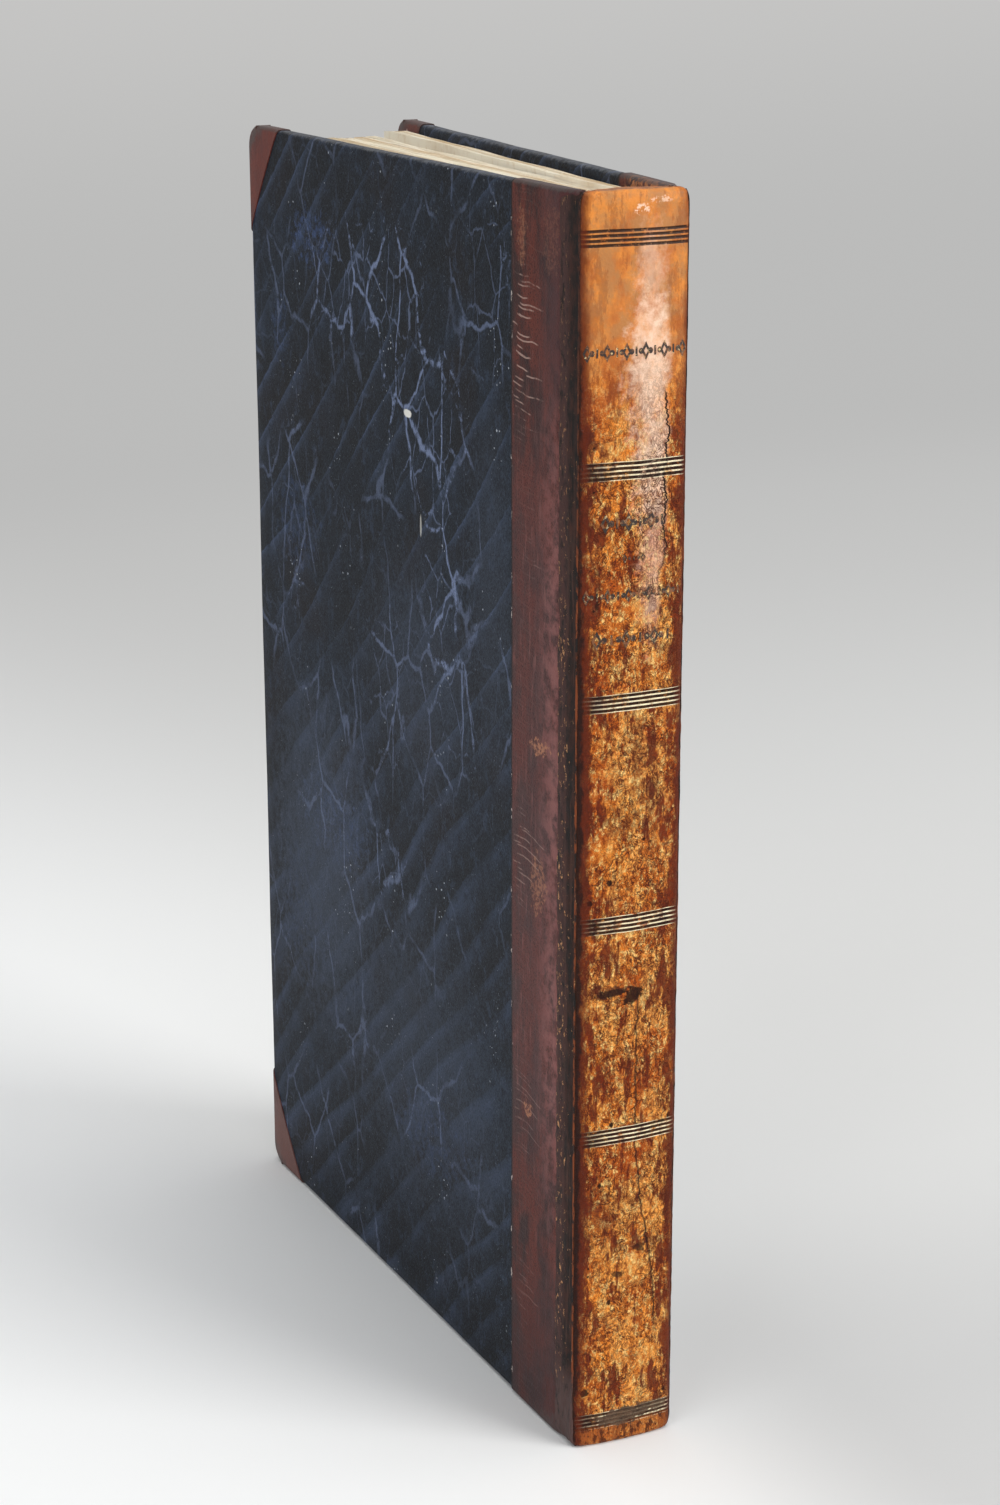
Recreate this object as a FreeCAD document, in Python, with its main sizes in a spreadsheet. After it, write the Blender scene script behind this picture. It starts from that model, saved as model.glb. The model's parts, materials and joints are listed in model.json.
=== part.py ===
import FreeCAD, Part
import Sketcher
import math
import os
import re

# Half-leather octavo book of the nineteenth century, standing on its tail, in millimetres.
# The spine faces -Y, the front cover is on the +X side and the back cover on the -X side.
# The origin is the middle of the footprint, at the height of the leather's tail edge.
# Root pieces are drawn with y = 0 in the plane of the joints. Cover pieces are drawn from
# their own joint line: depth inwards from the leather's face, reach towards the fore-edge.

SIZES = {
    # Covers
    "cover_splay": 3.0,
    "board_thickness": 2.4,
    "board_setback": 1.5,
    "board_corner_radius": 4.0,
    "leather_thickness": 0.5,
    "paper_thickness": 0.25,
    "pared_thickness": 0.25,
    "pastedown_thickness": 0.15,
    "pastedown_margin": 3.0,
    "turn_in_width": 15.0,
    "strip_width": 22.5,
    "corner_along_head": 15.5,
    "corner_down_edge": 21.5,
    "corner_hollow": 0.5,
    "bevel_width": 4.0,
    "bevel_depth": 0.9,
    # Joints between the covers and the block
    "joint_gap": 0.15,
    "running_clearance": 0.3,
    "groove_width": 0.6,
    "groove_depth": 0.9,
    # Text block
    "leaf_height": 219.0,
    "leaf_width": 135.0,
    "block_thickness": 13.4,
    "board_square": 3.0,
    "fore_edge_square": 4.0,
    "gatherings": 16,
    "gatherings_past_gap": 3,
    "gathering_notch": 0.3,
    "notch_reach": 46.0,
    "fore_edge_hollow": 0.8,
    "open_gap_width": 4.3,
    "open_gap_reach": 104.0,
    "leaves_past_gap": 3.7,
    "raised_leaves": 1.0,
    "shoulder_rise": 1.1,
    "spine_round": 0.6,
    # Sewing
    "cord_diameter": 1.0,
    "kerf_play": 0.1,
    "cord_count": 4,
    "cord_margin": 40.0,
    "slip_length": 10.0,
    "slip_height": 4.0,
    "slip_thickness": 0.5,
    # Spine
    "lining_thickness": 0.2,
    "lining_inset": 0.3,
    "card_thickness": 0.4,
    "card_inset": 0.7,
    "back_thickness": 0.7,
    "back_corner_inset": 0.3,
    "back_turn_in": 12.0,
    "cap_depth": 2.2,
    "cap_round": 0.55,
    # Tooled lines across the spine
    "tool_line_width": 0.3,
    "tool_line_depth": 0.15,
    "tool_line_pitch": 0.78,
    "tool_lines": 4,
    "tail_band_height": 4.9,
    "head_band_drop": 7.6,
    "head_panel_height": 38.0,
    "panel_height": 39.6,
}

doc = FreeCAD.newDocument("AntiqueLeatherBook")
sheet = doc.addObject("Spreadsheet::Sheet", "Sizes")
for row, (alias, number) in enumerate(SIZES.items(), start=1):
    sheet.set(f"A{row}", str(number))
    sheet.setAlias(f"A{row}", alias)
doc.recompute()


def sized(text):
    """Turns each word that names a size into that size's cell of the sheet."""
    return re.sub(r"[a-z_]+", lambda word: f"Sizes.{word[0]}" if word[0] in SIZES else word[0], text)


def value_of(text):
    return float(sheet.evalExpression(sized(text)))


# A cover reaches past the leaves by the squares
COVER_HEIGHT = "(leaf_height + 2 * board_square)"
COVER_WIDTH = "(leaf_width + fore_edge_square)"

# Depths below the leather's outer face of a cover
BOARD_TOP = "leather_thickness"
BOARD_BACK = "(leather_thickness + board_thickness)"
TURN_IN_BACK = f"({BOARD_BACK} + pared_thickness)"
COVER_BACK = f"({TURN_IN_BACK} + pastedown_thickness)"
PAPER_TOP = "(leather_thickness - paper_thickness)"

# Cords are spaced evenly between their margins at the tail and the head
CORD_PITCH = f"(({COVER_HEIGHT} - 2 * cord_margin) / (cord_count - 1))"
CORD_REACH = f"({COVER_HEIGHT} - 2 * cord_margin)"

# Places of the block, measured from the middle of the spine and the plane of the joints
HINGE_X = f"(block_thickness / 2 + running_clearance + {COVER_BACK})"
SHOULDER_X = f"({HINGE_X} - leather_thickness - bevel_depth - running_clearance)"
BLOCK_TAIL = "board_square"
SPINE_RADIUS = f"(({SHOULDER_X} ^ 2 + spine_round ^ 2) / (2 * spine_round))"
BACK_LAYERS = "(lining_thickness + card_thickness + back_thickness)"
SPINE_FRONT = f"(joint_gap + spine_round + {BACK_LAYERS})"
CENTRE_Y = (
    f"(({COVER_WIDTH} * cos(cover_splay) + {TURN_IN_BACK} * sin(cover_splay)"
    f" - {SPINE_FRONT}) / 2)"
)


def spine_y(across, layers="0"):
    """Y of the rounded spine at a distance from its middle, with some layers pasted on."""
    radius = f"({SPINE_RADIUS} + {layers})"
    centre = f"({SPINE_RADIUS} - spine_round - joint_gap)"
    return f"({centre} - sqrt({radius} ^ 2 - ({across}) ^ 2))"


def bevel_depth_at(reach):
    """Depth of the bevelled face along the joint, below the flat of the same face."""
    return f"(bevel_depth * (bevel_width - {reach}) / (bevel_width - joint_gap))"


def plane_of(body, role):
    return next(plane for plane in body.Origin.OriginFeatures if plane.Role == role)


def new_body(label):
    body = doc.addObject("PartDesign::Body", label)
    body.Label = label
    return body


def pin_to(sketch, geometry, end, across, along):
    """Fixes one point of a sketch at a place given by two expressions."""
    for kind, text, axis in (("DistanceX", across, -2), ("DistanceY", along, -1)):
        if text == "0":
            sketch.addConstraint(Sketcher.Constraint("PointOnObject", geometry, end, axis))
        else:
            row = sketch.addConstraint(
                Sketcher.Constraint(kind, -1, 1, geometry, end, value_of(text))
            )
            sketch.setExpression(f"Constraints[{row}]", sized(text))


def arc_through(start, middle, end):
    """Arc of a circle through three points, and whether it starts at the first of them."""
    chord = Part.Arc(start, middle, end).toShape().Curve
    centre = chord.Center
    circle = Part.Circle(centre, FreeCAD.Vector(0, 0, 1), chord.Radius)
    angles = [math.atan2(p.y - centre.y, p.x - centre.x) for p in (start, middle, end)]
    turn = 2 * math.pi
    forwards = (angles[1] - angles[0]) % turn < (angles[2] - angles[0]) % turn
    first, last = (angles[0], angles[2]) if forwards else (angles[2], angles[0])
    return Part.ArcOfCircle(circle, first, first + (last - first) % turn), forwards


def outline(body, name, role, corners, level="0", bends=None):
    """Closed sketch on an origin plane. A bend makes the side after that corner an arc."""
    sketch = body.newObject("Sketcher::SketchObject", name)
    sketch.AttachmentSupport = [(plane_of(body, role), "")]
    sketch.MapMode = "FlatFace"
    sketch.setExpression(".AttachmentOffset.Base.z", sized(level))
    bends = bends or {}
    places = [FreeCAD.Vector(value_of(x), value_of(y), 0) for x, y in corners]
    ends = []
    for index, start in enumerate(places):
        finish = places[(index + 1) % len(places)]
        if index in bends:
            middle = FreeCAD.Vector(value_of(bends[index][0]), value_of(bends[index][1]), 0)
            arc, forwards = arc_through(start, middle, finish)
            side = sketch.addGeometry(arc)
            ends.append((side, 1, 2) if forwards else (side, 2, 1))
        else:
            side = sketch.addGeometry(Part.LineSegment(start, finish))
            ends.append((side, 1, 2))
    for index, (side, start_end, finish_end) in enumerate(ends):
        next_side, next_start, next_finish = ends[(index + 1) % len(ends)]
        sketch.addConstraint(
            Sketcher.Constraint("Coincident", side, finish_end, next_side, next_start)
        )
        pin_to(sketch, side, start_end, *corners[index])
    for index, (across, along) in bends.items():
        place = FreeCAD.Vector(value_of(across), value_of(along), 0)
        point = sketch.addGeometry(Part.Point(place), True)
        pin_to(sketch, point, 1, across, along)
        sketch.addConstraint(Sketcher.Constraint("PointOnObject", point, 1, ends[index][0]))
    return sketch


def extrude(body, name, sketch, length, cut=False, backwards=False):
    """Pads the sketch along its normal, or pockets it the same way when cut is set."""
    feature = body.newObject("PartDesign::Pocket" if cut else "PartDesign::Pad", name)
    feature.Profile = sketch
    feature.setExpression("Length", sized(length))
    feature.Reversed = cut != backwards
    sketch.Visibility = False
    doc.recompute()
    return feature


def column(body, name, corners, bottom, height, cut=False, bends=None):
    """Upright prism on a plan outline."""
    sketch = outline(body, f"{name}_plan", "XY_Plane", corners, bottom, bends)
    return extrude(body, name, sketch, height, cut)


def layer(body, name, side, corners, top, back, cut=False, bends=None):
    """Layer of a cover between two depths below its outer face, on an outline of the face."""
    level = f"{-side} * ({top})"
    sketch = outline(body, f"{name}_face", "YZ_Plane", corners, level, bends)
    return extrude(body, name, sketch, f"({back}) - ({top})", cut, backwards=side > 0)


def repeat_upwards(body, name, feature, copies, reach):
    """Repeats a feature along Z."""
    pattern = body.newObject("PartDesign::LinearPattern", name)
    pattern.Originals = [feature]
    pattern.Direction = (plane_axis(body, "Z_Axis"), [""])
    pattern.setExpression("Length", sized(reach))
    pattern.setExpression("Occurrences", sized(f"round({copies})"))
    body.Tip = pattern
    doc.recompute()
    return pattern


def plane_axis(body, role):
    return next(axis for axis in body.Origin.OriginFeatures if axis.Role == role)


def round_edges(body, name, radius, chosen):
    """Fillets the edges of the body's last shape that the test chooses."""
    last = body.Tip
    names = [f"Edge{i}" for i, edge in enumerate(last.Shape.Edges, start=1) if chosen(edge)]
    fillet = body.newObject("PartDesign::Fillet", name)
    fillet.Base = (last, names)
    fillet.setExpression("Radius", sized(radius))
    doc.recompute()
    return fillet


def box_corners(left, bottom, right, top):
    return [(left, bottom), (right, bottom), (right, top), (left, top)]


# Text block

def text_block():
    """All leaves as one solid: two fanned groups, the glued spine, and notches between."""
    body = new_body("text_block")
    wall = "block_thickness / 2"
    spread = f"({wall} + leaf_width * tan(cover_splay))"
    gap_left = f"({spread} - leaves_past_gap - open_gap_width)"
    gap_right = f"({spread} - leaves_past_gap)"
    share = "(leaves_past_gap / (2 * leaves_past_gap + open_gap_width))"
    closed_x = f"({wall} - block_thickness * {share} / 2)"
    closed_y = "(leaf_width - open_gap_reach)"
    hollow_y = "(leaf_width - fore_edge_hollow)"
    middle_x = f"(({gap_left} - {spread}) / 2)"

    column(
        body,
        "leaves",
        [
            (f"-{wall}", "joint_gap"),
            (wall, "joint_gap"),
            (f"({wall} + {closed_y} * tan(cover_splay))", closed_y),
            (closed_x, closed_y),
            (gap_left, "leaf_width"),
            (f"-{spread}", "leaf_width"),
        ],
        BLOCK_TAIL,
        "leaf_height",
        bends={4: (middle_x, hollow_y)},
    )
    column(
        body,
        "leaves_past_the_gap",
        [
            (f"({wall} + {closed_y} * tan(cover_splay))", closed_y),
            (spread, "leaf_width"),
            (gap_right, "leaf_width"),
            (closed_x, closed_y),
        ],
        f"({BLOCK_TAIL} + raised_leaves)",
        "leaf_height",
    )
    column(
        body,
        "glued_spine",
        [
            (f"-{SHOULDER_X}", "-joint_gap"),
            (SHOULDER_X, "-joint_gap"),
            (SHOULDER_X, "shoulder_rise"),
            (f"-{SHOULDER_X}", "shoulder_rise"),
        ],
        BLOCK_TAIL,
        "leaf_height",
        bends={0: ("0", spine_y("0"))},
    )

    fanned = round(value_of("gatherings")) - round(value_of("gatherings_past_gap"))
    for number in range(1, fanned):
        share = number / fanned
        reach = f"notch_reach * {0.72 + 0.28 * math.sin(2.1 * number):.3f}"
        mouth = f"(({gap_left} + {spread}) * {share:.4f} - {spread})"
        inner = f"({mouth} * (1 - {reach} / (2 * leaf_width)))"
        column(
            body,
            f"notch_{number}",
            [
                (inner, f"leaf_width - {reach}"),
                (f"{mouth} + gathering_notch / 2", "leaf_width + 1"),
                (f"{mouth} - gathering_notch / 2", "leaf_width + 1"),
            ],
            "0",
            COVER_HEIGHT,
            cut=True,
        )

    kerf = outline(
        body,
        "kerf_section",
        "YZ_Plane",
        box_corners(
            f"-{SPINE_FRONT}",
            "cord_margin - (cord_diameter + kerf_play) / 2",
            "cord_diameter - kerf_play",
            "cord_margin + (cord_diameter + kerf_play) / 2",
        ),
        level=f"-{SHOULDER_X} - 1",
    )
    first = extrude(body, "kerf", kerf, f"2 * {SHOULDER_X} + 2", cut=True)
    repeat_upwards(body, "kerfs", first, "cord_count", CORD_REACH)
    return body


# Sewing cords and the layers pasted on the spine

def sewing_cord(number):
    """One recessed cord, across the spine from shoulder to shoulder."""
    body = new_body(f"sewing_cord_{number}")
    sketch = body.newObject("Sketcher::SketchObject", f"cord_section_{number}")
    sketch.AttachmentSupport = [(plane_of(body, "YZ_Plane"), "")]
    sketch.MapMode = "FlatFace"
    half_length = f"({SHOULDER_X} - lining_inset)"
    sketch.setExpression(".AttachmentOffset.Base.z", sized(f"-{half_length}"))
    across = "cord_diameter / 2 - kerf_play"
    height = f"cord_margin + {CORD_PITCH} * {number - 1}"
    centre = FreeCAD.Vector(value_of(across), value_of(height), 0)
    circle = Part.Circle(centre, FreeCAD.Vector(0, 0, 1), value_of("cord_diameter / 2"))
    rim = sketch.addGeometry(circle)
    pin_to(sketch, rim, 3, across, height)
    row = sketch.addConstraint(Sketcher.Constraint("Diameter", rim, value_of("cord_diameter")))
    sketch.setExpression(f"Constraints[{row}]", sized("cord_diameter"))
    extrude(body, f"cord_{number}", sketch, f"2 * {half_length}")
    return body


def curved_sheet(body, name, half_width, under, over, bottom, height):
    """Sheet that follows the round of the spine, between two layers."""
    corners = [
        (f"-{half_width}", spine_y(half_width, over)),
        (half_width, spine_y(half_width, over)),
        (half_width, spine_y(half_width, under)),
        (f"-{half_width}", spine_y(half_width, under)),
    ]
    bends = {0: ("0", spine_y("0", over)), 2: ("0", spine_y("0", under))}
    return column(body, name, corners, bottom, height, bends=bends)


def spine_lining():
    body = new_body("spine_lining")
    half_width = f"({SHOULDER_X} - lining_inset)"
    bottom = f"({BLOCK_TAIL} + back_turn_in)"
    height = "(leaf_height - 2 * back_turn_in)"
    curved_sheet(body, "lining", half_width, "0", "lining_thickness", bottom, height)
    return body


def spine_card():
    body = new_body("spine_card")
    half_width = f"({SHOULDER_X} - card_inset)"
    over = "(lining_thickness + card_thickness)"
    curved_sheet(body, "card", half_width, "lining_thickness", over, BLOCK_TAIL, "leaf_height")
    return body


def spine_leather():
    """The back's leather: sheet, two caps, turned-in flaps and the tooled lines."""
    body = new_body("spine_leather")
    inner_layers = "(lining_thickness + card_thickness)"
    sheet_x = f"({SHOULDER_X} - lining_inset)"
    inner_x = f"({SHOULDER_X} - card_inset + 0.1)"
    corner_x = f"({HINGE_X} - joint_gap)"
    corner_y = f"(-(joint_gap + groove_width))"
    groove_x = f"({HINGE_X} - groove_depth)"
    inside_x = f"({groove_x} - back_thickness)"
    front_y = spine_y(sheet_x, BACK_LAYERS)
    bulge_x = f"(({sheet_x} + {corner_x}) / 2 + back_corner_inset)"
    bulge_y = f"(({front_y} + {corner_y}) / 2 - back_corner_inset)"
    inner_y = spine_y(inner_x, inner_layers)

    column(
        body,
        "back",
        [
            (f"-{sheet_x}", front_y),
            (sheet_x, front_y),
            (corner_x, corner_y),
            (groove_x, "-joint_gap"),
            (inside_x, "-joint_gap"),
            (inner_x, inner_y),
            (f"-{inner_x}", inner_y),
            (f"-{inside_x}", "-joint_gap"),
            (f"-{groove_x}", "-joint_gap"),
            (f"-{corner_x}", corner_y),
        ],
        "0",
        COVER_HEIGHT,
        bends={
            0: ("0", spine_y("0", BACK_LAYERS)),
            1: (bulge_x, bulge_y),
            5: ("0", spine_y("0", inner_layers)),
            9: (f"-{bulge_x}", bulge_y),
        },
    )
    cap_x = f"({SHOULDER_X} - card_inset)"
    for end, bottom, flap_bottom in (
        ("tail", "0", BLOCK_TAIL),
        ("head", f"({COVER_HEIGHT} - board_square)", f"({COVER_HEIGHT} - board_square - back_turn_in)"),
    ):
        column(
            body,
            f"{end}_cap",
            [
                (f"-{cap_x}", spine_y(cap_x, inner_layers)),
                (cap_x, spine_y(cap_x, inner_layers)),
                (cap_x, "joint_gap"),
                (f"-{cap_x}", "joint_gap"),
            ],
            bottom,
            "board_square",
            bends={0: ("0", spine_y("0", inner_layers)), 2: ("0", "cap_depth")},
        )
        curved_sheet(
            body, f"{end}_flap", cap_x, "0", "lining_thickness", flap_bottom, "back_turn_in"
        )

    top = value_of(COVER_HEIGHT)

    def on_cap_rim(edge):
        at_end = all(min(abs(v.Z), abs(v.Z - top)) < 1e-6 for v in edge.Vertexes)
        middle = edge.valueAt((edge.FirstParameter + edge.LastParameter) / 2)
        return at_end and abs(middle.x) < 1e-3

    round_edges(body, "rounded_caps", "min(cap_round; 0.85 * back_thickness)", on_cap_rim)

    line_x = f"({HINGE_X} + 1)"
    head_band = f"({COVER_HEIGHT} - head_band_drop)"
    band_heights = ["tail_band_height", head_band]
    band_heights += [f"({head_band} - head_panel_height - panel_height * {n})" for n in range(4)]
    for number, height in enumerate(band_heights, start=1):
        first = column(
            body,
            f"tooled_line_{number}",
            [
                (f"-{line_x}", f"-{SPINE_FRONT} - 2"),
                (line_x, f"-{SPINE_FRONT} - 2"),
                (line_x, f"{front_y} + tool_line_depth"),
                (sheet_x, f"{front_y} + tool_line_depth"),
                (f"-{sheet_x}", f"{front_y} + tool_line_depth"),
                (f"-{line_x}", f"{front_y} + tool_line_depth"),
            ],
            f"({height} - tool_line_pitch * (tool_lines - 1) / 2)",
            "tool_line_width",
            cut=True,
            bends={3: ("0", f"{spine_y('0', BACK_LAYERS)} + tool_line_depth")},
        )
        repeat_upwards(
            body,
            f"tooled_band_{number}",
            first,
            "tool_lines",
            "tool_line_pitch * (tool_lines - 1)",
        )
    return body


# Covers

def place_cover_piece(body, side):
    """Hangs a cover's piece on its joint line, at the splay in which the book stands."""
    body.Placement = FreeCAD.Placement(
        FreeCAD.Vector(0, 0, 0), FreeCAD.Rotation(FreeCAD.Vector(0, 0, 1), 1)
    )
    body.setExpression(".Placement.Base.x", sized(f"{side} * {HINGE_X}"))
    body.setExpression(".Placement.Base.y", sized(f"-{CENTRE_Y}"))
    body.setExpression(".Placement.Rotation.Angle", sized(f"{-side} * cover_splay"))


def board(cover, side):
    """Pressed board, bevelled along the joint, rounded at the corners, recessed for slips."""
    body = new_body(f"{cover}_board")
    edge = f"({COVER_WIDTH} - leather_thickness)"
    column(
        body,
        f"{cover}_board_body",
        [
            (f"{-side} * {BOARD_BACK}", "board_setback"),
            (f"{-side} * ({BOARD_TOP} + {bevel_depth_at('board_setback')})", "board_setback"),
            (f"{-side} * {BOARD_TOP}", "bevel_width"),
            (f"{-side} * {BOARD_TOP}", edge),
            (f"{-side} * {BOARD_BACK}", edge),
        ],
        "leather_thickness",
        f"({COVER_HEIGHT} - 2 * leather_thickness)",
    )
    fore_edge = value_of(edge)

    def on_fore_corner(line):
        across = line.Vertexes[0].Point - line.Vertexes[-1].Point
        return abs(across.z) < 1e-6 and abs(across.y) < 1e-6 and line.Vertexes[0].Y > fore_edge - 1e-6

    round_edges(body, f"{cover}_board_corners", "board_corner_radius", on_fore_corner)
    first = layer(
        body,
        f"{cover}_slip_recess",
        side,
        slip_corners(),
        BOARD_TOP,
        f"({BOARD_TOP} + slip_thickness)",
        cut=True,
    )
    repeat_upwards(body, f"{cover}_slip_recesses", first, "cord_count", CORD_REACH)
    return body


def slip_corners():
    return box_corners(
        "bevel_width",
        "cord_margin - slip_height / 2",
        "(bevel_width + slip_length)",
        "cord_margin + slip_height / 2",
    )


def cord_slips(cover, side):
    """Ends of the cords, frayed out and pasted into the board's recesses."""
    body = new_body(f"{cover}_cord_slips")
    body.AllowCompound = True
    back = f"({BOARD_TOP} + slip_thickness)"
    first = layer(body, f"{cover}_slip", side, slip_corners(), BOARD_TOP, back)
    repeat_upwards(body, f"{cover}_slips", first, "cord_count", CORD_REACH)
    return body


def cut_board_slot(body, name, side, start, edge):
    """Room for the board inside a folded covering, square to the joint."""
    corners = box_corners(
        start, "leather_thickness", edge, f"({COVER_HEIGHT} - leather_thickness)"
    )
    return layer(body, name, side, corners, BOARD_TOP, BOARD_BACK, cut=True)


def joint_leather(cover, side):
    """Leather strip along the joint, turned in round the head and tail of the board."""
    body = new_body(f"{cover}_joint_leather")
    sheet_in = f"({BOARD_TOP} + {bevel_depth_at('board_setback')})"
    column(
        body,
        f"{cover}_strip",
        [
            (f"{-side} * (leather_thickness + bevel_depth)", "joint_gap"),
            (f"{-side} * bevel_depth", "joint_gap"),
            ("0", "bevel_width"),
            ("0", "strip_width"),
            (f"{-side} * {TURN_IN_BACK}", "strip_width"),
            (f"{-side} * {TURN_IN_BACK}", "board_setback"),
            (f"{-side} * {sheet_in}", "board_setback"),
        ],
        "0",
        COVER_HEIGHT,
    )
    column(
        body,
        f"{cover}_strip_slot",
        [
            (f"{-side} * {BOARD_BACK}", "board_setback - 1"),
            (f"{-side} * ({BOARD_TOP} + {bevel_depth_at('(board_setback - 1)')})", "board_setback - 1"),
            (f"{-side} * {BOARD_TOP}", "bevel_width"),
            (f"{-side} * {BOARD_TOP}", "strip_width + 1"),
            (f"{-side} * {BOARD_BACK}", "strip_width + 1"),
        ],
        "leather_thickness",
        f"({COVER_HEIGHT} - 2 * leather_thickness)",
        cut=True,
    )
    window = box_corners(
        "board_setback - 1", "turn_in_width", "strip_width + 1", f"({COVER_HEIGHT} - turn_in_width)"
    )
    back = f"({TURN_IN_BACK} + 1)"
    layer(body, f"{cover}_strip_window", side, window, BOARD_BACK, back, cut=True)
    return body


def corner_outline(end):
    """Triangle of leather over one corner of a board, its long side slightly hollow."""
    far = COVER_WIDTH
    tip = {"head": COVER_HEIGHT, "tail": "0"}[end]
    inward = {"head": -1, "tail": 1}[end]
    along = (f"({far} - corner_along_head)", tip)
    down = (far, f"({tip} + {inward} * corner_down_edge)")
    middle = (
        f"({far} - corner_along_head / 2 + corner_hollow * 0.8)",
        f"({tip} + {inward} * (corner_down_edge / 2 - corner_hollow * 0.6))",
    )
    return [(far, tip), along, down], {1: middle}


def corner_leather(cover, side, end):
    body = new_body(f"{cover}_{end}_corner")
    corners, bends = corner_outline(end)
    layer(body, f"{cover}_{end}_cap", side, corners, "0", TURN_IN_BACK, bends=bends)
    tip = FreeCAD.Vector(0, value_of(corners[0][0]), value_of(corners[0][1]))

    def on_tip(line):
        return all(
            abs(v.Y - tip.y) < 1e-6 and abs(v.Z - tip.z) < 1e-6 for v in line.Vertexes
        )

    outer_radius = "(board_corner_radius + leather_thickness)"
    round_edges(body, f"{cover}_{end}_tip", outer_radius, on_tip)
    far = f"({COVER_WIDTH} - leather_thickness)"
    near = f"({COVER_WIDTH} - 2 * corner_along_head)"
    inward = {"head": -1, "tail": 1}[end]
    top = f"({corners[0][1]} + {inward} * leather_thickness)"
    low = f"({corners[0][1]} + {inward} * 2 * corner_down_edge)"
    turned = f"({far} - board_corner_radius * (1 - sqrt(0.5)))"
    risen = f"({top} + {inward} * board_corner_radius * (1 - sqrt(0.5)))"
    layer(
        body,
        f"{cover}_{end}_slot",
        side,
        [
            (near, low),
            (far, low),
            (far, f"({top} + {inward} * board_corner_radius)"),
            (f"({far} - board_corner_radius)", top),
            (near, top),
        ],
        BOARD_TOP,
        BOARD_BACK,
        cut=True,
        bends={2: (turned, risen)},
    )
    return body


def marbled_paper(cover, side):
    """Paper over the board between the leathers, turned in round its three edges."""
    body = new_body(f"{cover}_marbled_paper")
    edge = f"({COVER_WIDTH} - leather_thickness)"
    inset = PAPER_TOP
    whole = box_corners(
        "strip_width", inset, f"({COVER_WIDTH} - {inset})", f"({COVER_HEIGHT} - {inset})"
    )
    layer(body, f"{cover}_paper", side, whole, PAPER_TOP, TURN_IN_BACK)
    cut_board_slot(body, f"{cover}_paper_slot", side, "strip_width - 1", edge)
    window = box_corners(
        "strip_width - 1", "turn_in_width", f"({COVER_WIDTH} - turn_in_width)",
        f"({COVER_HEIGHT} - turn_in_width)",
    )
    back = f"({TURN_IN_BACK} + 1)"
    layer(body, f"{cover}_paper_window", side, window, BOARD_BACK, back, cut=True)
    for end in ("head", "tail"):
        corners, bends = corner_outline(end)
        layer(body, f"{cover}_{end}_trim", side, corners, "0", back, cut=True, bends=bends)
    return body


def pastedown(cover, side):
    """Endpaper pasted inside the board, thicker where it levels the turn-ins."""
    body = new_body(f"{cover}_pastedown")
    whole = box_corners(
        "board_setback",
        "pastedown_margin",
        f"({COVER_WIDTH} - pastedown_margin)",
        f"({COVER_HEIGHT} - pastedown_margin)",
    )
    layer(body, f"{cover}_endpaper", side, whole, TURN_IN_BACK, COVER_BACK)
    filling = box_corners(
        "board_setback", "turn_in_width", f"({COVER_WIDTH} - turn_in_width)",
        f"({COVER_HEIGHT} - turn_in_width)",
    )
    layer(body, f"{cover}_filling", side, filling, BOARD_BACK, TURN_IN_BACK)
    return body


# The whole book

block_pieces = [text_block()]
block_pieces += [sewing_cord(number + 1) for number in range(round(value_of("cord_count")))]
block_pieces += [spine_lining(), spine_card(), spine_leather()]
for piece in block_pieces:
    piece.setExpression(".Placement.Base.y", sized(f"-{CENTRE_Y}"))

cover_pieces = []
for cover_name, cover_side in (("front", 1), ("back", -1)):
    pieces = [
        board(cover_name, cover_side),
        cord_slips(cover_name, cover_side),
        joint_leather(cover_name, cover_side),
        corner_leather(cover_name, cover_side, "head"),
        corner_leather(cover_name, cover_side, "tail"),
        marbled_paper(cover_name, cover_side),
        pastedown(cover_name, cover_side),
    ]
    for piece in pieces:
        place_cover_piece(piece, cover_side)
    cover_pieces += pieces
doc.recompute()

# Nothing is written until every object is sound and every pocket has cut

for item in doc.Objects:
    if "Invalid" in item.State or "Error" in item.State:
        raise RuntimeError(f"{item.Label} failed: {item.State}")
    if item.TypeId == "PartDesign::Pocket":
        before = item.BaseFeature.Shape.Volume
        if item.Shape.Volume > before - 1e-4:
            raise RuntimeError(f"{item.Label} cuts nothing")
for piece in block_pieces + cover_pieces:
    if piece.Shape.isNull() or not piece.Shape.isValid():
        raise RuntimeError(f"{piece.Label} has no valid shape")

os.makedirs("parts", exist_ok=True)
for piece in block_pieces + cover_pieces:
    piece.Shape.exportStep(os.path.join("parts", f"{piece.Label}.step"))
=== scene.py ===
"""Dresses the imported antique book: leaves, leathers, marbled paper, and a plain studio."""

import json
import logging
import math
import random
from dataclasses import dataclass, field
from enum import Enum
from functools import cached_property, reduce
from typing import Callable, Iterable, Optional, Sequence, Union

import bpy
from mathutils import Matrix, Vector, noise


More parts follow.
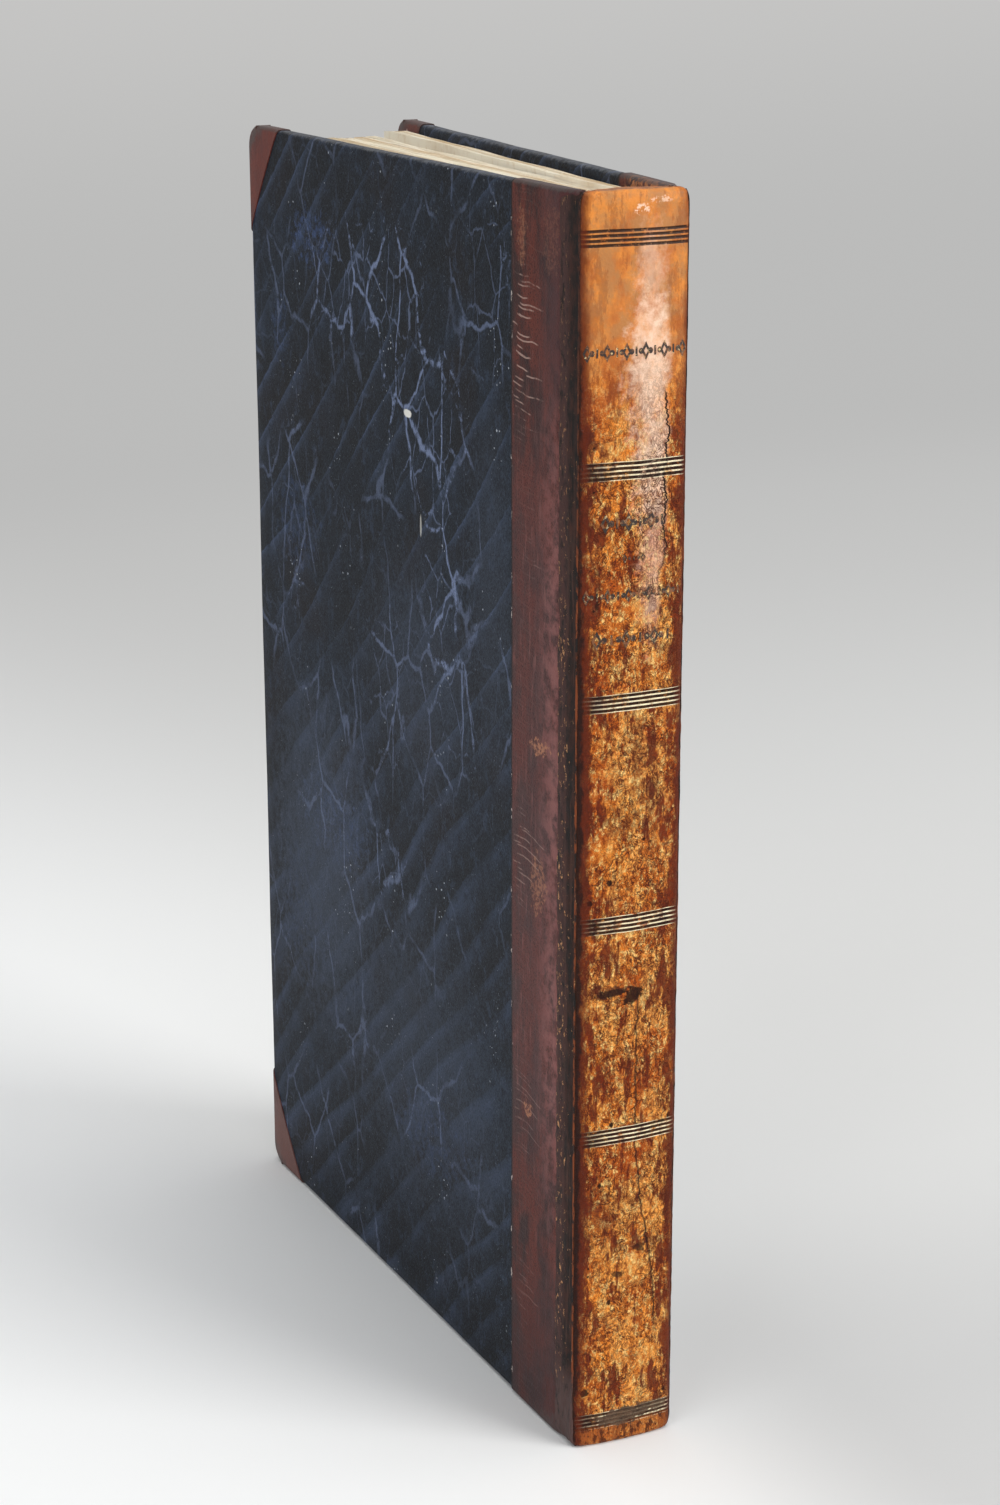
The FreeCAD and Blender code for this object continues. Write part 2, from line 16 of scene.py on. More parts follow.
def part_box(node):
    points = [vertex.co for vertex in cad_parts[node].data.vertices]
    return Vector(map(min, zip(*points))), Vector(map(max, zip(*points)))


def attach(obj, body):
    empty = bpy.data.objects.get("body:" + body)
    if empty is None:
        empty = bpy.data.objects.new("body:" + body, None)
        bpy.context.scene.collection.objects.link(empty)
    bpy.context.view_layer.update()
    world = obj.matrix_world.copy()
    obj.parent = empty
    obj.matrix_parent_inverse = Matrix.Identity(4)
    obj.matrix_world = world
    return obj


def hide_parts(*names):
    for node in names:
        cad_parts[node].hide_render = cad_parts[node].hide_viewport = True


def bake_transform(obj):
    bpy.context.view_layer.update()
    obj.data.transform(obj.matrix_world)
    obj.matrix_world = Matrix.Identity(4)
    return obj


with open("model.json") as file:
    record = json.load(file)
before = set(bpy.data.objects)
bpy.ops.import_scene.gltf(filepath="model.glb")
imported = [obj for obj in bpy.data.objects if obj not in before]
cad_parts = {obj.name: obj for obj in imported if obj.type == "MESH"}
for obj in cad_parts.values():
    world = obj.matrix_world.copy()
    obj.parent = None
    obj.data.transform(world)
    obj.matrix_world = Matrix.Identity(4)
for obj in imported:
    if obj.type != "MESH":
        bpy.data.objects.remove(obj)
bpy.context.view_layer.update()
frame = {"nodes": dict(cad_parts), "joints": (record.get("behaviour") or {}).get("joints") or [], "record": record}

log = logging.getLogger("book")
logging.basicConfig(level=logging.INFO, format="%(message)s")

MM = 0.001
Piece = bpy.types.Object
Material = bpy.types.Material
Link = bpy.types.NodeSocket
Socket = Union[Link, float, int, tuple]
Colour = tuple[float, float, float]


class Side(Enum):
    """Which cover a piece belongs to, with its sign along X."""

    FRONT = 1
    BACK = -1

    @property
    def cover(self) -> str:
        """Name of the body that the side's pieces ride on."""
        return f"{self.name.lower()}_cover"

    @property
    def prefix(self) -> str:
        """Start of the side's node names."""
        return self.name.lower()


# Nodes


class NodeSheet:
    """Adds and links the nodes of one tree, in few words."""

    def __init__(self, tree: bpy.types.NodeTree) -> None:
        """Empties the tree.

        Args:
            tree: Node tree of a material or a group.
        """
        self.tree = tree
        tree.nodes.clear()

    def plug(self, target: Link, value: Socket) -> None:
        """Links a socket or sets a plain value.

        Args:
            target: Input socket.
            value: Output socket, number, or tuple.
        """
        if isinstance(value, Link):
            self.tree.links.new(value, target)
        elif isinstance(value, tuple) and target.type == "RGBA" and len(value) == 3:
            target.default_value = (*value, 1.0)
        else:
            target.default_value = value

    def add(self, kind: str, settings: Optional[dict] = None, **inputs: Socket) -> bpy.types.Node:
        """Adds a node.

        Args:
            kind: Node type without its ShaderNode prefix.
            settings: Attributes of the node.
            inputs: Values or links, by input name with underscores for spaces.

        Returns:
            The new node.
        """
        node = self.tree.nodes.new(f"ShaderNode{kind}")
        for name, value in (settings or {}).items():
            setattr(node, name, value)
        for name, value in inputs.items():
            self.plug(node.inputs[name.replace("_", " ")], value)
        return node

    def math(self, operation: str, *values: Socket, kind: str = "Math") -> Link:
        """Adds a Math or VectorMath node.

        Args:
            operation: Name of the operation.
            values: Its inputs in order.
            kind: Math or VectorMath.

        Returns:
            Its result.
        """
        node = self.add(kind, {"operation": operation})
        for target, value in zip(node.inputs, values):
            self.plug(target, value)
        return node.outputs[1 if operation == "LENGTH" else 0]

    def linear(self, value: Socket, factor: Socket, offset: Socket) -> Link:
        """Value times factor plus offset."""
        return self.math("MULTIPLY_ADD", value, factor, offset)

    def less(self, value: Socket, other: Socket) -> Link:
        """Value minus the other."""
        return self.math("SUBTRACT", value, other)

    def away(self, value: Socket, middle: Socket) -> Link:
        """Distance of a value from a middle."""
        return self.math("ABSOLUTE", self.less(value, middle))

    def product(self, *values: Socket) -> Socket:
        """Product of any number of values."""
        return reduce(lambda first, second: self.math("MULTIPLY", first, second), values)

    def largest(self, *values: Socket) -> Socket:
        """Largest of any number of masks, or 0 without any."""
        return reduce(lambda first, second: self.math("MAXIMUM", first, second), values, 0.0)

    def fade(self, value: Socket, start: float, end: float) -> Link:
        """Smooth step from 0 at start to 1 at end.

        Args:
            value: Input.
            start: Where the result is 0.
            end: Where the result is 1, above or below start.

        Returns:
            A value from 0 to 1.
        """
        rises = start < end
        low, high = (start, end) if rises else (end, start)
        node = self.add("MapRange", {"interpolation_type": "SMOOTHSTEP"}, Value=value, From_Min=low,
                        From_Max=high, To_Min=float(not rises), To_Max=float(rises))
        return node.outputs["Result"]

    def lay(self, colour: Socket, tint: Socket, *masks: Socket) -> Link:
        """Lays a tint over a colour, as far as the product of the masks.

        Args:
            colour: Colour below.
            tint: Colour on top.
            masks: Shares of the tint.

        Returns:
            The mixed colour.
        """
        node = self.add("Mix", {"data_type": "RGBA"})
        for index, value in ((0, self.product(*masks)), (6, colour), (7, tint)):
            self.plug(node.inputs[index], value)
        return node.outputs[2]

    def noise(self, vector: Socket, scale: Socket, detail: float = 3.0,
              roughness: float = 0.55, distortion: float = 0.0) -> Link:
        """Adds fractal noise.

        Args:
            vector: Coordinates.
            scale: Features per unit.
            detail: Octaves.
            roughness: Weight of the finer octaves.
            distortion: Amount of warping.

        Returns:
            A value about 0.5.
        """
        node = self.add("TexNoise", Vector=vector, Scale=scale, Detail=detail,
                        Roughness=roughness, Distortion=distortion)
        return node.outputs["Fac"]

    def patches(self, start: float, end: float, vector: Socket, *shape: float) -> Link:
        """Fractal noise as patches: 0 at its level start, 1 at its level end."""
        return self.fade(self.noise(vector, *shape), start, end)

    def stretch(self, vector: Socket, scale: tuple = (1.0, 1.0, 1.0), offset: tuple = (0.0, 0.0, 0.0),
                turn: tuple = (0.0, 0.0, 0.0)) -> Link:
        """Scales, moves and turns coordinates.

        Args:
            vector: Coordinates.
            scale: Factors.
            offset: Move.
            turn: Angles in radians.

        Returns:
            The new coordinates.
        """
        return self.add("Mapping", Vector=vector, Scale=scale, Location=offset, Rotation=turn).outputs[0]

    def shift(self, vector: Socket, amount: float, scale: float, detail: float = 2.0) -> Link:
        """Pushes coordinates about by coloured noise.

        Args:
            vector: Coordinates.
            amount: Largest push, in the coordinates' unit.
            scale: Noise features per unit.
            detail: Octaves.

        Returns:
            The pushed coordinates.
        """
        push = self.add("TexNoise", Vector=vector, Scale=scale, Detail=detail).outputs["Color"]
        centred = self.math("SUBTRACT", push, (0.5, 0.5, 0.5), kind="VectorMath")
        return self.math("MULTIPLY_ADD", centred, (2 * amount,) * 3, vector, kind="VectorMath")

    def axes(self, vector: Socket) -> tuple:
        """The x, y and z sockets of coordinates."""
        return tuple(self.add("SeparateXYZ", Vector=vector).outputs)

    def attribute(self, name: str) -> Link:
        """Value of a mesh attribute, by its name."""
        return self.add("Attribute", {"attribute_name": name}).outputs["Fac"]

    def bump(self, height: Socket, distance: float, strength: float) -> Link:
        """Normal of a height, whose 1 stands for a distance in metres."""
        return self.add("Bump", Height=height, Distance=distance, Strength=strength).outputs[0]


def new_group(name: str, inputs: dict, build: Callable) -> bpy.types.NodeTree:
    """Makes a node group with one output.

    Args:
        name: Name of the group.
        inputs: Default by input name; a tuple makes a vector socket.
        build: Function of the sheet and the input sockets that returns the output.

    Returns:
        The group.
    """
    tree = bpy.data.node_groups.new(name, "ShaderNodeTree")
    sheet = NodeSheet(tree)
    for title, default in inputs.items():
        kind = "NodeSocketVector" if isinstance(default, tuple) else "NodeSocketFloat"
        socket = tree.interface.new_socket(name=title, in_out="INPUT", socket_type=kind)
        socket.default_value = default
    tree.interface.new_socket(name="Mask", in_out="OUTPUT", socket_type="NodeSocketFloat")
    entry = tree.nodes.new("NodeGroupInput")
    leave = tree.nodes.new("NodeGroupOutput")
    sheet.plug(leave.inputs[0], build(sheet, entry.outputs))
    return tree


class Effects:
    """Shader groups that more than one finish uses."""

    def __init__(self) -> None:
        """Builds each group once."""
        zero = (0.0, 0.0, 0.0)
        spot = {"Vector": zero, "Centre": zero, "Size": (1.0, 1.0, 1.0), "Ragged": 0.4, "Wobble": 0.5}
        self.groups = {
            name: new_group(name, inputs, build) for name, inputs, build in (
                ("fine_grain", {"Vector": zero, "Scale": 3.0}, self.grain),
                ("specks", {"Vector": zero, "Scale": 0.8, "Share": 0.1, "Size": 0.2}, self.specks),
                ("cracks", {"Vector": zero, "Scale": 0.7, "Width": 0.1}, self.cracks),
                ("stain", spot, lambda sheet, inputs: sheet.fade(self.spot(sheet, inputs), 1.1, 0.75)),
                ("haze", spot, lambda sheet, inputs: sheet.fade(self.spot(sheet, inputs), 1.35, 0.25)),
                ("wear_and_shade_edge", {"Vector": zero, "Reach": 0.5}, self.wear_and_shade_edge))}

    @staticmethod
    def grain(sheet: NodeSheet, inputs: Sequence) -> Socket:
        """Close grain of leather or pressed paper.

        Args:
            sheet: Sheet of the group.
            inputs: Vector and scale.

        Returns:
            A value about 0.5.
        """
        coarse = sheet.noise(inputs["Vector"], inputs["Scale"], 4.0, 0.65)
        cells = sheet.add("TexVoronoi", Vector=inputs["Vector"], Scale=inputs["Scale"])
        return sheet.linear(cells.outputs["Distance"], 0.45, sheet.product(coarse, 0.7))

    @staticmethod
    def specks(sheet: NodeSheet, inputs: Sequence) -> Socket:
        """Small scattered dots.

        Args:
            sheet: Sheet of the group.
            inputs: Vector, scale, share of cells with a dot, and size in cells.

        Returns:
            1 inside a dot.
        """
        wander = sheet.shift(inputs["Vector"], 0.25, 1.3)
        cells = sheet.add("TexVoronoi", Vector=wander, Scale=inputs["Scale"])
        chance, size, _ = sheet.axes(cells.outputs["Color"])
        chosen = sheet.math("LESS_THAN", chance, inputs["Share"])
        radius = sheet.product(inputs["Size"], size)
        return sheet.product(chosen, sheet.math("LESS_THAN", cells.outputs["Distance"], radius))

    @staticmethod
    def cracks(sheet: NodeSheet, inputs: Sequence) -> Socket:
        """Net of thin lines between cells.

        Args:
            sheet: Sheet of the group.
            inputs: Vector, scale, and width in cells.

        Returns:
            1 on a line, fading to 0 beside it.
        """
        cells = sheet.add("TexVoronoi", {"feature": "DISTANCE_TO_EDGE"}, Vector=inputs["Vector"],
                          Scale=inputs["Scale"])
        share = sheet.math("DIVIDE", cells.outputs["Distance"], inputs["Width"])
        return sheet.less(1.0, sheet.fade(share, 0.25, 1.0))

    @staticmethod
    def spot(sheet: NodeSheet, inputs: Sequence) -> Socket:
        """Distance from a spot's middle in shares of its size, made ragged.

        Args:
            sheet: Sheet of the group.
            inputs: Vector, centre, size along each axis, raggedness and a noise.

        Returns:
            About 1 at the spot's edge.
        """
        away = sheet.math("SUBTRACT", inputs["Vector"], inputs["Centre"], kind="VectorMath")
        share = sheet.math("DIVIDE", away, inputs["Size"], kind="VectorMath")
        length = sheet.math("LENGTH", share, kind="VectorMath")
        return sheet.linear(sheet.less(inputs["Wobble"], 0.5), sheet.product(inputs["Ragged"], 4.0), length)

    @staticmethod
    def wear_and_shade_edge(sheet: NodeSheet, inputs: Sequence) -> Socket:
        """Rubbing along folds and corners, broken up by noise; by the back's joints it also marks painted shade.

        Args:
            sheet: Sheet of the group.
            inputs: Vector, and how far the rubbing reaches from 0 to 1.

        Returns:
            1 where the surface is rubbed, or by the back's joints shaded.
        """
        broken = sheet.noise(inputs["Vector"], 0.9, 5.0, 0.7)
        level = sheet.linear(sheet.attribute("worn"), inputs["Reach"], sheet.product(broken, 0.55))
        return sheet.fade(level, 0.58, 0.8)


# Finishes


@dataclass(frozen=True)
class Blot:
    """Spot at a place of a surface, in millimetres: stains, marks of the pattern, and patches of painted highlight
    and sheen.
    """

    x: float
    y: float
    z: float
    wide: float
    tall: float
    strength: float = 1.0


class FinishSheet(NodeSheet):
    """Sheet of one finish, with the book's coordinates in millimetres."""

    def __init__(self, tree: bpy.types.NodeTree, effects: Effects) -> None:
        """Empties the tree and adds the coordinates.

        Args:
            tree: Node tree of the material.
            effects: Shared groups.
        """
        super().__init__(tree)
        self.effects = effects
        self.place = self.stretch(self.add("TexCoord").outputs["Object"], (1 / MM,) * 3)
        self.x, self.y, self.z = self.axes(self.place)

    def drawn(self, stretch: tuple, *shape: float) -> Link:
        """Fractal noise on the book's coordinates, drawn out along the axes."""
        return self.noise(self.stretch(self.place, stretch), *shape)

    @cached_property
    def wobble(self) -> Link:
        """Noise that all spots of the material share."""
        return self.noise(self.place, 0.55, 4.0, 0.7)

    def effect(self, name: str, vector: Optional[Link] = None, **inputs: Socket) -> Link:
        """Places a shared group.

        Args:
            name: Name of the group.
            vector: Coordinates, or none for the book's own.
            inputs: Its other values or links.

        Returns:
            Its mask.
        """
        tree = self.effects.groups[name]
        return self.add("Group", {"node_tree": tree}, Vector=vector or self.place, **inputs).outputs[0]

    def marks(self, blots: Iterable[Blot], ragged: float, hazy: bool = False) -> Socket:
        """Joins the masks of spots by their largest value.

        Args:
            blots: The spots.
            ragged: Raggedness of their edges.
            hazy: True for edges that fade slowly.

        Returns:
            The joined mask, or 0 without any.
        """
        masks = []
        for blot in blots:
            spot = self.effect("haze" if hazy else "stain", Ragged=ragged, Wobble=self.wobble,
                               Centre=(blot.x, blot.y, blot.z), Size=(blot.wide, blot.wide, blot.tall))
            masks.append(self.product(spot, blot.strength))
        return self.largest(*masks)


@dataclass(frozen=True)
class Finish:
    """A material: its name, the constants of its shader and its surface."""

    name: str
    specular: float = 0.5

    def surface(self, sheet: FinishSheet) -> tuple:
        """Adds the nodes of the surface.

        Args:
            sheet: Sheet of the material.

        Returns:
            Colour, roughness and, where it has relief, normal.
        """
        raise NotImplementedError

    def build(self, effects: Effects) -> Material:
        """Makes the material.

        Args:
            effects: Shared groups.

        Returns:
            The material.
        """
        material = bpy.data.materials.new(self.name)
        material.use_nodes = True
        sheet = FinishSheet(material.node_tree, effects)
        shader = sheet.add("BsdfPrincipled")
        shader.inputs["Specular IOR Level"].default_value = self.specular
        for name, value in zip(("Base Color", "Roughness", "Normal"), self.surface(sheet)):
            sheet.plug(shader.inputs[name], value)
        sheet.add("OutputMaterial", Surface=shader.outputs[0])
        return material


@dataclass(frozen=True)
class MarbledPaper(Finish):
    """Dark blue wave marbling with branching veins, burnished and rubbed, with patches of painted sheen."""

    dark: Colour = (0.0100, 0.0105, 0.0112)
    night: Colour = (0.0130, 0.0180, 0.0265)
    wave: Colour = (0.066, 0.094, 0.162)
    vein: Colour = (0.195, 0.245, 0.390)
    rubbed: Colour = (0.24, 0.245, 0.26)
    chip: Colour = (0.80, 0.78, 0.72)
    wave_angle: float = 43.0
    wave_period: float = 8.6
    veined: tuple = ()
    clouds: tuple = ()
    sheen_patches: tuple = ()
    chips: tuple = ()
    calm: tuple = ()
    brownish: Colour = (0.0135, 0.012, 0.0125)
    lighter: Colour = (0.042, 0.06, 0.1)
    darker: Colour = (0.0055, 0.0058, 0.0066)
    cloud_blue: Colour = (0.055, 0.09, 0.2)
    # Colour of the painted sheen laid over broad patches of the board.
    haze: Colour = (0.064, 0.08, 0.114)
    fibre: Colour = (0.092, 0.112, 0.152)
    hollow: Colour = (0.0025, 0.0025, 0.0032)
    dust: Colour = (0.46, 0.5, 0.56)
    fine_dust: Colour = (0.2, 0.23, 0.29)

    def waves(self, sheet: FinishSheet) -> Socket:
        """Shaded waves, each with one sharp edge.

        Args:
            sheet: Sheet of the material.

        Returns:
            Light of the waves from 0 to 1.
        """
        bent = sheet.shift(sheet.place, 3.2, 0.02, 1.0)
        fine = sheet.shift(bent, 0.40, 0.5)
        turned = sheet.stretch(fine, turn=(math.radians(self.wave_angle), 0.0, 0.0))
        across = sheet.axes(turned)[2]
        count = sheet.math("DIVIDE", across, self.wave_period)
        uneven = sheet.noise(sheet.stretch(turned, (0.0, 0.008, 0.045)), 1.0, 1.0)
        phase = sheet.math("FRACT", sheet.linear(uneven, 2.2, count))
        low = sheet.fade(sheet.z, 150.0, 90.0)
        line = sheet.product(sheet.math("POWER", phase, 13.0), sheet.fade(phase, 1.0, 0.97),
                             sheet.linear(low, -0.7, 1.05))
        band = sheet.product(sheet.math("POWER", phase, 2.2), sheet.fade(phase, 1.0, 0.82),
                             sheet.linear(low, 0.52, 0.14))
        streak = sheet.noise(sheet.stretch(turned, (0.2, 0.05, 0.5)), 1.0, 4.0, 0.66)
        strength = sheet.patches(0.4, 0.58, sheet.place, 0.04, 3.0)
        body = sheet.product(sheet.math("ADD", line, band), sheet.linear(streak, 2.2, 0.0))
        quiet = sheet.marks(self.calm, 0.4, True)
        loud = sheet.linear(strength, 0.68, 0.32)
        return sheet.product(body, sheet.less(loud, sheet.product(quiet, loud)))

    def veins(self, sheet: FinishSheet) -> Socket:
        """Branching veins, dense in some places and faint elsewhere.

        Args:
            sheet: Sheet of the material.

        Returns:
            Light of the veins from 0 to 1.
        """
        pulled = sheet.shift(sheet.stretch(sheet.place, (1.0, 1.25, 0.75)), 2.4, 0.13, 4.0)
        wide = sheet.effect("cracks", pulled, Scale=0.06, Width=0.028)
        small = sheet.effect("cracks", pulled, Scale=0.125, Width=0.03)
        patchy = sheet.patches(0.44, 0.6, sheet.place, 0.045, 3.0)
        dense = sheet.marks(self.veined, 0.7)
        broken = sheet.patches(0.32, 0.5, sheet.place, 0.3, 4.0, 0.6)
        first = sheet.product(wide, sheet.math("MAXIMUM", sheet.product(patchy, 0.40), dense))
        second = sheet.product(small, sheet.math("MAXIMUM", sheet.product(patchy, 0.20), dense), 0.55)
        return sheet.product(sheet.math("MAXIMUM", first, second), broken)

    def surface(self, sheet: FinishSheet) -> tuple:
        """Adds the nodes of the surface.

        Args:
            sheet: Sheet of the material.

        Returns:
            Colour, roughness and normal.
        """
        waves = self.waves(sheet)
        veins = self.veins(sheet)
        ground = sheet.lay(self.dark, self.night, sheet.patches(0.35, 0.7, sheet.place, 0.035, 3.0))
        ground = sheet.lay(ground, self.brownish, sheet.patches(0.5, 0.7, sheet.place, 0.05, 2.0))
        colour = sheet.lay(ground, self.wave, waves)
        cloud = sheet.marks(self.clouds, 0.8)
        patchy = sheet.drawn((1.0, 1.2, 0.8), 0.3, 6.0, 0.72)
        colour = sheet.lay(colour, self.lighter, sheet.fade(patchy, 0.52, 0.68), 0.55)
        colour = sheet.lay(colour, self.darker, sheet.fade(patchy, 0.46, 0.34), 0.6)
        mottled = sheet.product(cloud, sheet.patches(0.42, 0.66, sheet.place, 0.6, 5.0, 0.75))
        colour = sheet.lay(colour, self.cloud_blue, mottled)
        # Painted sheen: broad patches of the board are lightened with a pale blue-grey veil.
        hazy = sheet.marks(self.sheen_patches, 0.5, True)
        colour = sheet.lay(colour, self.haze, hazy, 0.66)
        colour = sheet.lay(colour, self.vein, veins)
        fibre = sheet.drawn((1.0, 3.4, 1.1), 1.7, 4.0, 0.8)
        light = sheet.fade(fibre, 0.46, 0.74)
        colour = sheet.lay(colour, self.fibre, light, 0.6)
        black = sheet.product(sheet.fade(fibre, 0.51, 0.34), 0.82)
        colour = sheet.lay(colour, self.hollow, black)
        dust = sheet.effect("specks", Scale=0.85, Share=0.3, Size=0.2)
        clusters = sheet.patches(0.5, 0.6, sheet.place, 0.06, 4.0, 0.6)
        fine_dust = sheet.effect("specks", Scale=1.9, Share=0.12, Size=0.24)
        colour = sheet.lay(colour, self.dust, dust, clusters, 0.85)
        colour = sheet.lay(colour, self.fine_dust, fine_dust, 0.55)
        worn = sheet.effect("wear_and_shade_edge", Reach=0.42)
        colour = sheet.lay(colour, self.rubbed, worn, 0.5)
        lost = sheet.marks(self.chips, 0.25)
        colour = sheet.lay(colour, self.chip, lost)
        rough = sheet.linear(fibre, 0.3, 0.42)
        rough = sheet.math("MAXIMUM", rough, sheet.product(worn, 0.7))
        height = sheet.linear(sheet.effect("fine_grain", Scale=2.2), 0.5, sheet.product(fibre, 0.9))
        height = sheet.linear(veins, 0.25, height)
        normal = sheet.bump(height, 0.07 * MM, 0.8)
        return colour, rough, normal


@dataclass(frozen=True)
class BrownCalf(Finish):
    """Dark red-brown calf of the joint strips and corners, scratched and greyed, with a painted highlight on the
    roll by the joint and partly painted sheen across the middle.
    """

    deep: Colour = (0.024, 0.0065, 0.0060)
    warm: Colour = (0.125, 0.025, 0.015)
    # Paler tone laid across the middle height: partly the leather's own, partly painted sheen.
    purple: Colour = (0.098, 0.037, 0.037)
    scratch: Colour = (0.60, 0.40, 0.33)
    grey: Colour = (0.080, 0.064, 0.060)
    seam_y: float = -46.0
    scratched: tuple = ()
    scuffs: tuple = ()
    mottled: tuple = ()
    pore: Colour = (0.015, 0.005, 0.0045)
    # Colour of the painted highlight on the roll by the joint.
    rose_highlight: Colour = (0.29, 0.11, 0.1)
    rubbed: Colour = (0.26, 0.105, 0.09)
    corner: Colour = (0.205, 0.06, 0.048)
    upper_roll: Colour = (0.052, 0.026, 0.03)
    greyed: Colour = (0.185, 0.096, 0.083)
    foot: Colour = (0.052, 0.024, 0.025)
    scuff: Colour = (0.4, 0.17, 0.09)
    bare: Colour = (0.42, 0.16, 0.06)
    dirt: Colour = (0.01, 0.006, 0.006)
    paste: Colour = (0.55, 0.48, 0.44)

    def scratches(self, sheet: FinishSheet) -> Socket:
        """Level scratches in rows, each with its own start, length and place.

        Args:
            sheet: Sheet of the material.

        Returns:
            1 on a scratch.
        """
        inward = sheet.less(self.seam_y - 0.3, sheet.y)
        wander = sheet.drawn((0.1, 0.11, 0.05), 1.0, 3.0, 0.4)
        level = sheet.linear(inward, 0.09, sheet.z)
        level = sheet.linear(wander, 3.0, level)
        masks = []
        for pitch, reach in ((1.7, 6.0), (2.9, 11.0)):
            row = sheet.math("DIVIDE", level, pitch)
            chance = sheet.add("TexWhiteNoise", {"noise_dimensions": "1D"}, W=sheet.math("FLOOR", row))
            first, second, third = sheet.axes(chance.outputs["Color"])
            away = sheet.less(sheet.math("FRACT", row), sheet.linear(first, 0.5, 0.25))
            thin = sheet.fade(sheet.math("ABSOLUTE", away), 0.18 / pitch, 0.07 / pitch)
            begun = sheet.less(inward, sheet.product(second, 0.5 * reach))
            ended = sheet.less(begun, sheet.linear(third, 0.8 * reach, 1.0))
            masks.append(sheet.product(thin, sheet.fade(begun, 0.0, 0.4), sheet.fade(ended, 1.2, 0.0)))
        return sheet.largest(*masks)

    def surface(self, sheet: FinishSheet) -> tuple:
        """Adds the nodes of the surface.

        Args:
            sheet: Sheet of the material.

        Returns:
            Colour, roughness and normal.
        """
        height = sheet.z
        patches = sheet.drawn((1.0, 1.0, 0.45), 0.16, 6.0, 0.7)
        colour = sheet.lay(self.deep, self.warm, sheet.fade(patches, 0.4, 0.6))
        middle = sheet.product(sheet.fade(height, 30.0, 70.0), sheet.fade(height, 205.0, 160.0))
        # Paler across the middle height: partly the leather's tone, partly painted sheen.
        colour = sheet.lay(colour, self.purple, sheet.linear(middle, 0.42, 0.1))
        grain = sheet.effect("fine_grain", Scale=2.6)
        colour = sheet.lay(colour, self.pore, sheet.fade(grain, 0.58, 0.36), 0.8)
        # Painted highlight: patchy rose on the roll towards the joint, strongest across the middle height.
        roll = sheet.fade(sheet.y, self.seam_y - 8.0, self.seam_y - 16.0)
        roll_highlight = sheet.product(roll, sheet.patches(0.36, 0.62, sheet.place, 0.35, 5.0, 0.7))
        roll_highlight = sheet.product(roll_highlight, sheet.linear(middle, 0.55, 0.15))
        colour = sheet.lay(colour, self.rose_highlight, roll_highlight)
        rubs = sheet.drawn((1.0, 1.0, 0.16), 0.9, 4.0, 0.7)
        rubbed = sheet.product(sheet.fade(rubs, 0.52, 0.72), sheet.linear(middle, 0.3, 0.2))
        colour = sheet.lay(colour, self.rubbed, rubbed)
        far = sheet.fade(sheet.y, 20.0, 40.0)
        colour = sheet.lay(colour, self.corner, far, 0.35)
        upper_roll = sheet.product(roll, sheet.fade(height, 180.0, 200.0), 0.6)
        colour = sheet.lay(colour, self.upper_roll, upper_roll)
        greyed = sheet.product(far, sheet.fade(height, 32.0, 12.0), sheet.fade(patches, 0.34, 0.50), 0.60)
        colour = sheet.lay(colour, self.greyed, greyed)
        lowest = sheet.product(sheet.fade(height, 40.0, 8.0), sheet.less(1.0, far), 0.55)
        colour = sheet.lay(colour, self.foot, lowest)
        lines = self.scratches(sheet)
        zone = sheet.marks(self.scratched, 0.8, True)
        zone = sheet.math("MAXIMUM", zone, 0.05)
        colour = sheet.lay(colour, self.scratch, lines, zone, 0.55)
        marks = sheet.effect("specks", sheet.stretch(sheet.place, (1.0, 1.0, 0.4)), Scale=0.3, Share=0.22,
                             Size=0.085)
        colour = sheet.lay(colour, self.scratch, marks, sheet.linear(zone, 0.7, 0.15))
        scuff = sheet.marks(self.scuffs, 0.7)
        spotty = sheet.patches(0.42, 0.6, sheet.place, 1.4, 4.0, 0.7)
        colour = sheet.lay(colour, self.scuff, scuff, spotty)
        dust = sheet.effect("specks", Scale=0.5, Share=0.12, Size=0.22)
        colour = sheet.lay(colour, self.scratch, dust, 0.7)
        mottle = sheet.marks(self.mottled, 0.3)
        patch = sheet.patches(0.44, 0.56, sheet.place, 0.75, 4.0, 0.65)
        inside = sheet.fade(sheet.axes(sheet.add("TexCoord").outputs["Normal"])[0], 0.1, -0.1)
        colour = sheet.lay(colour, self.bare, mottle, patch, inside)
        worn = sheet.effect("wear_and_shade_edge", Reach=0.5)
        colour = sheet.lay(colour, self.grey, worn, 0.75)
        seam = sheet.fade(sheet.y, self.seam_y - 0.75, self.seam_y - 0.15)
        flecks = sheet.fade(sheet.drawn((1.0, 1.0, 0.5), 1.1, 3.0, 0.6), 0.63, 0.67)
        dirt = sheet.lay(self.dirt, self.paste, flecks)
        on_strip = sheet.product(seam, sheet.fade(sheet.y, self.seam_y + 0.8, self.seam_y + 0.6))
        colour = sheet.lay(colour, dirt, on_strip)
        rough = sheet.linear(patches, 0.35, 0.3)
        relief = sheet.less(grain, sheet.product(lines, zone, 0.6))
        normal = sheet.bump(relief, 0.1 * MM, 0.6)
        return colour, rough, normal


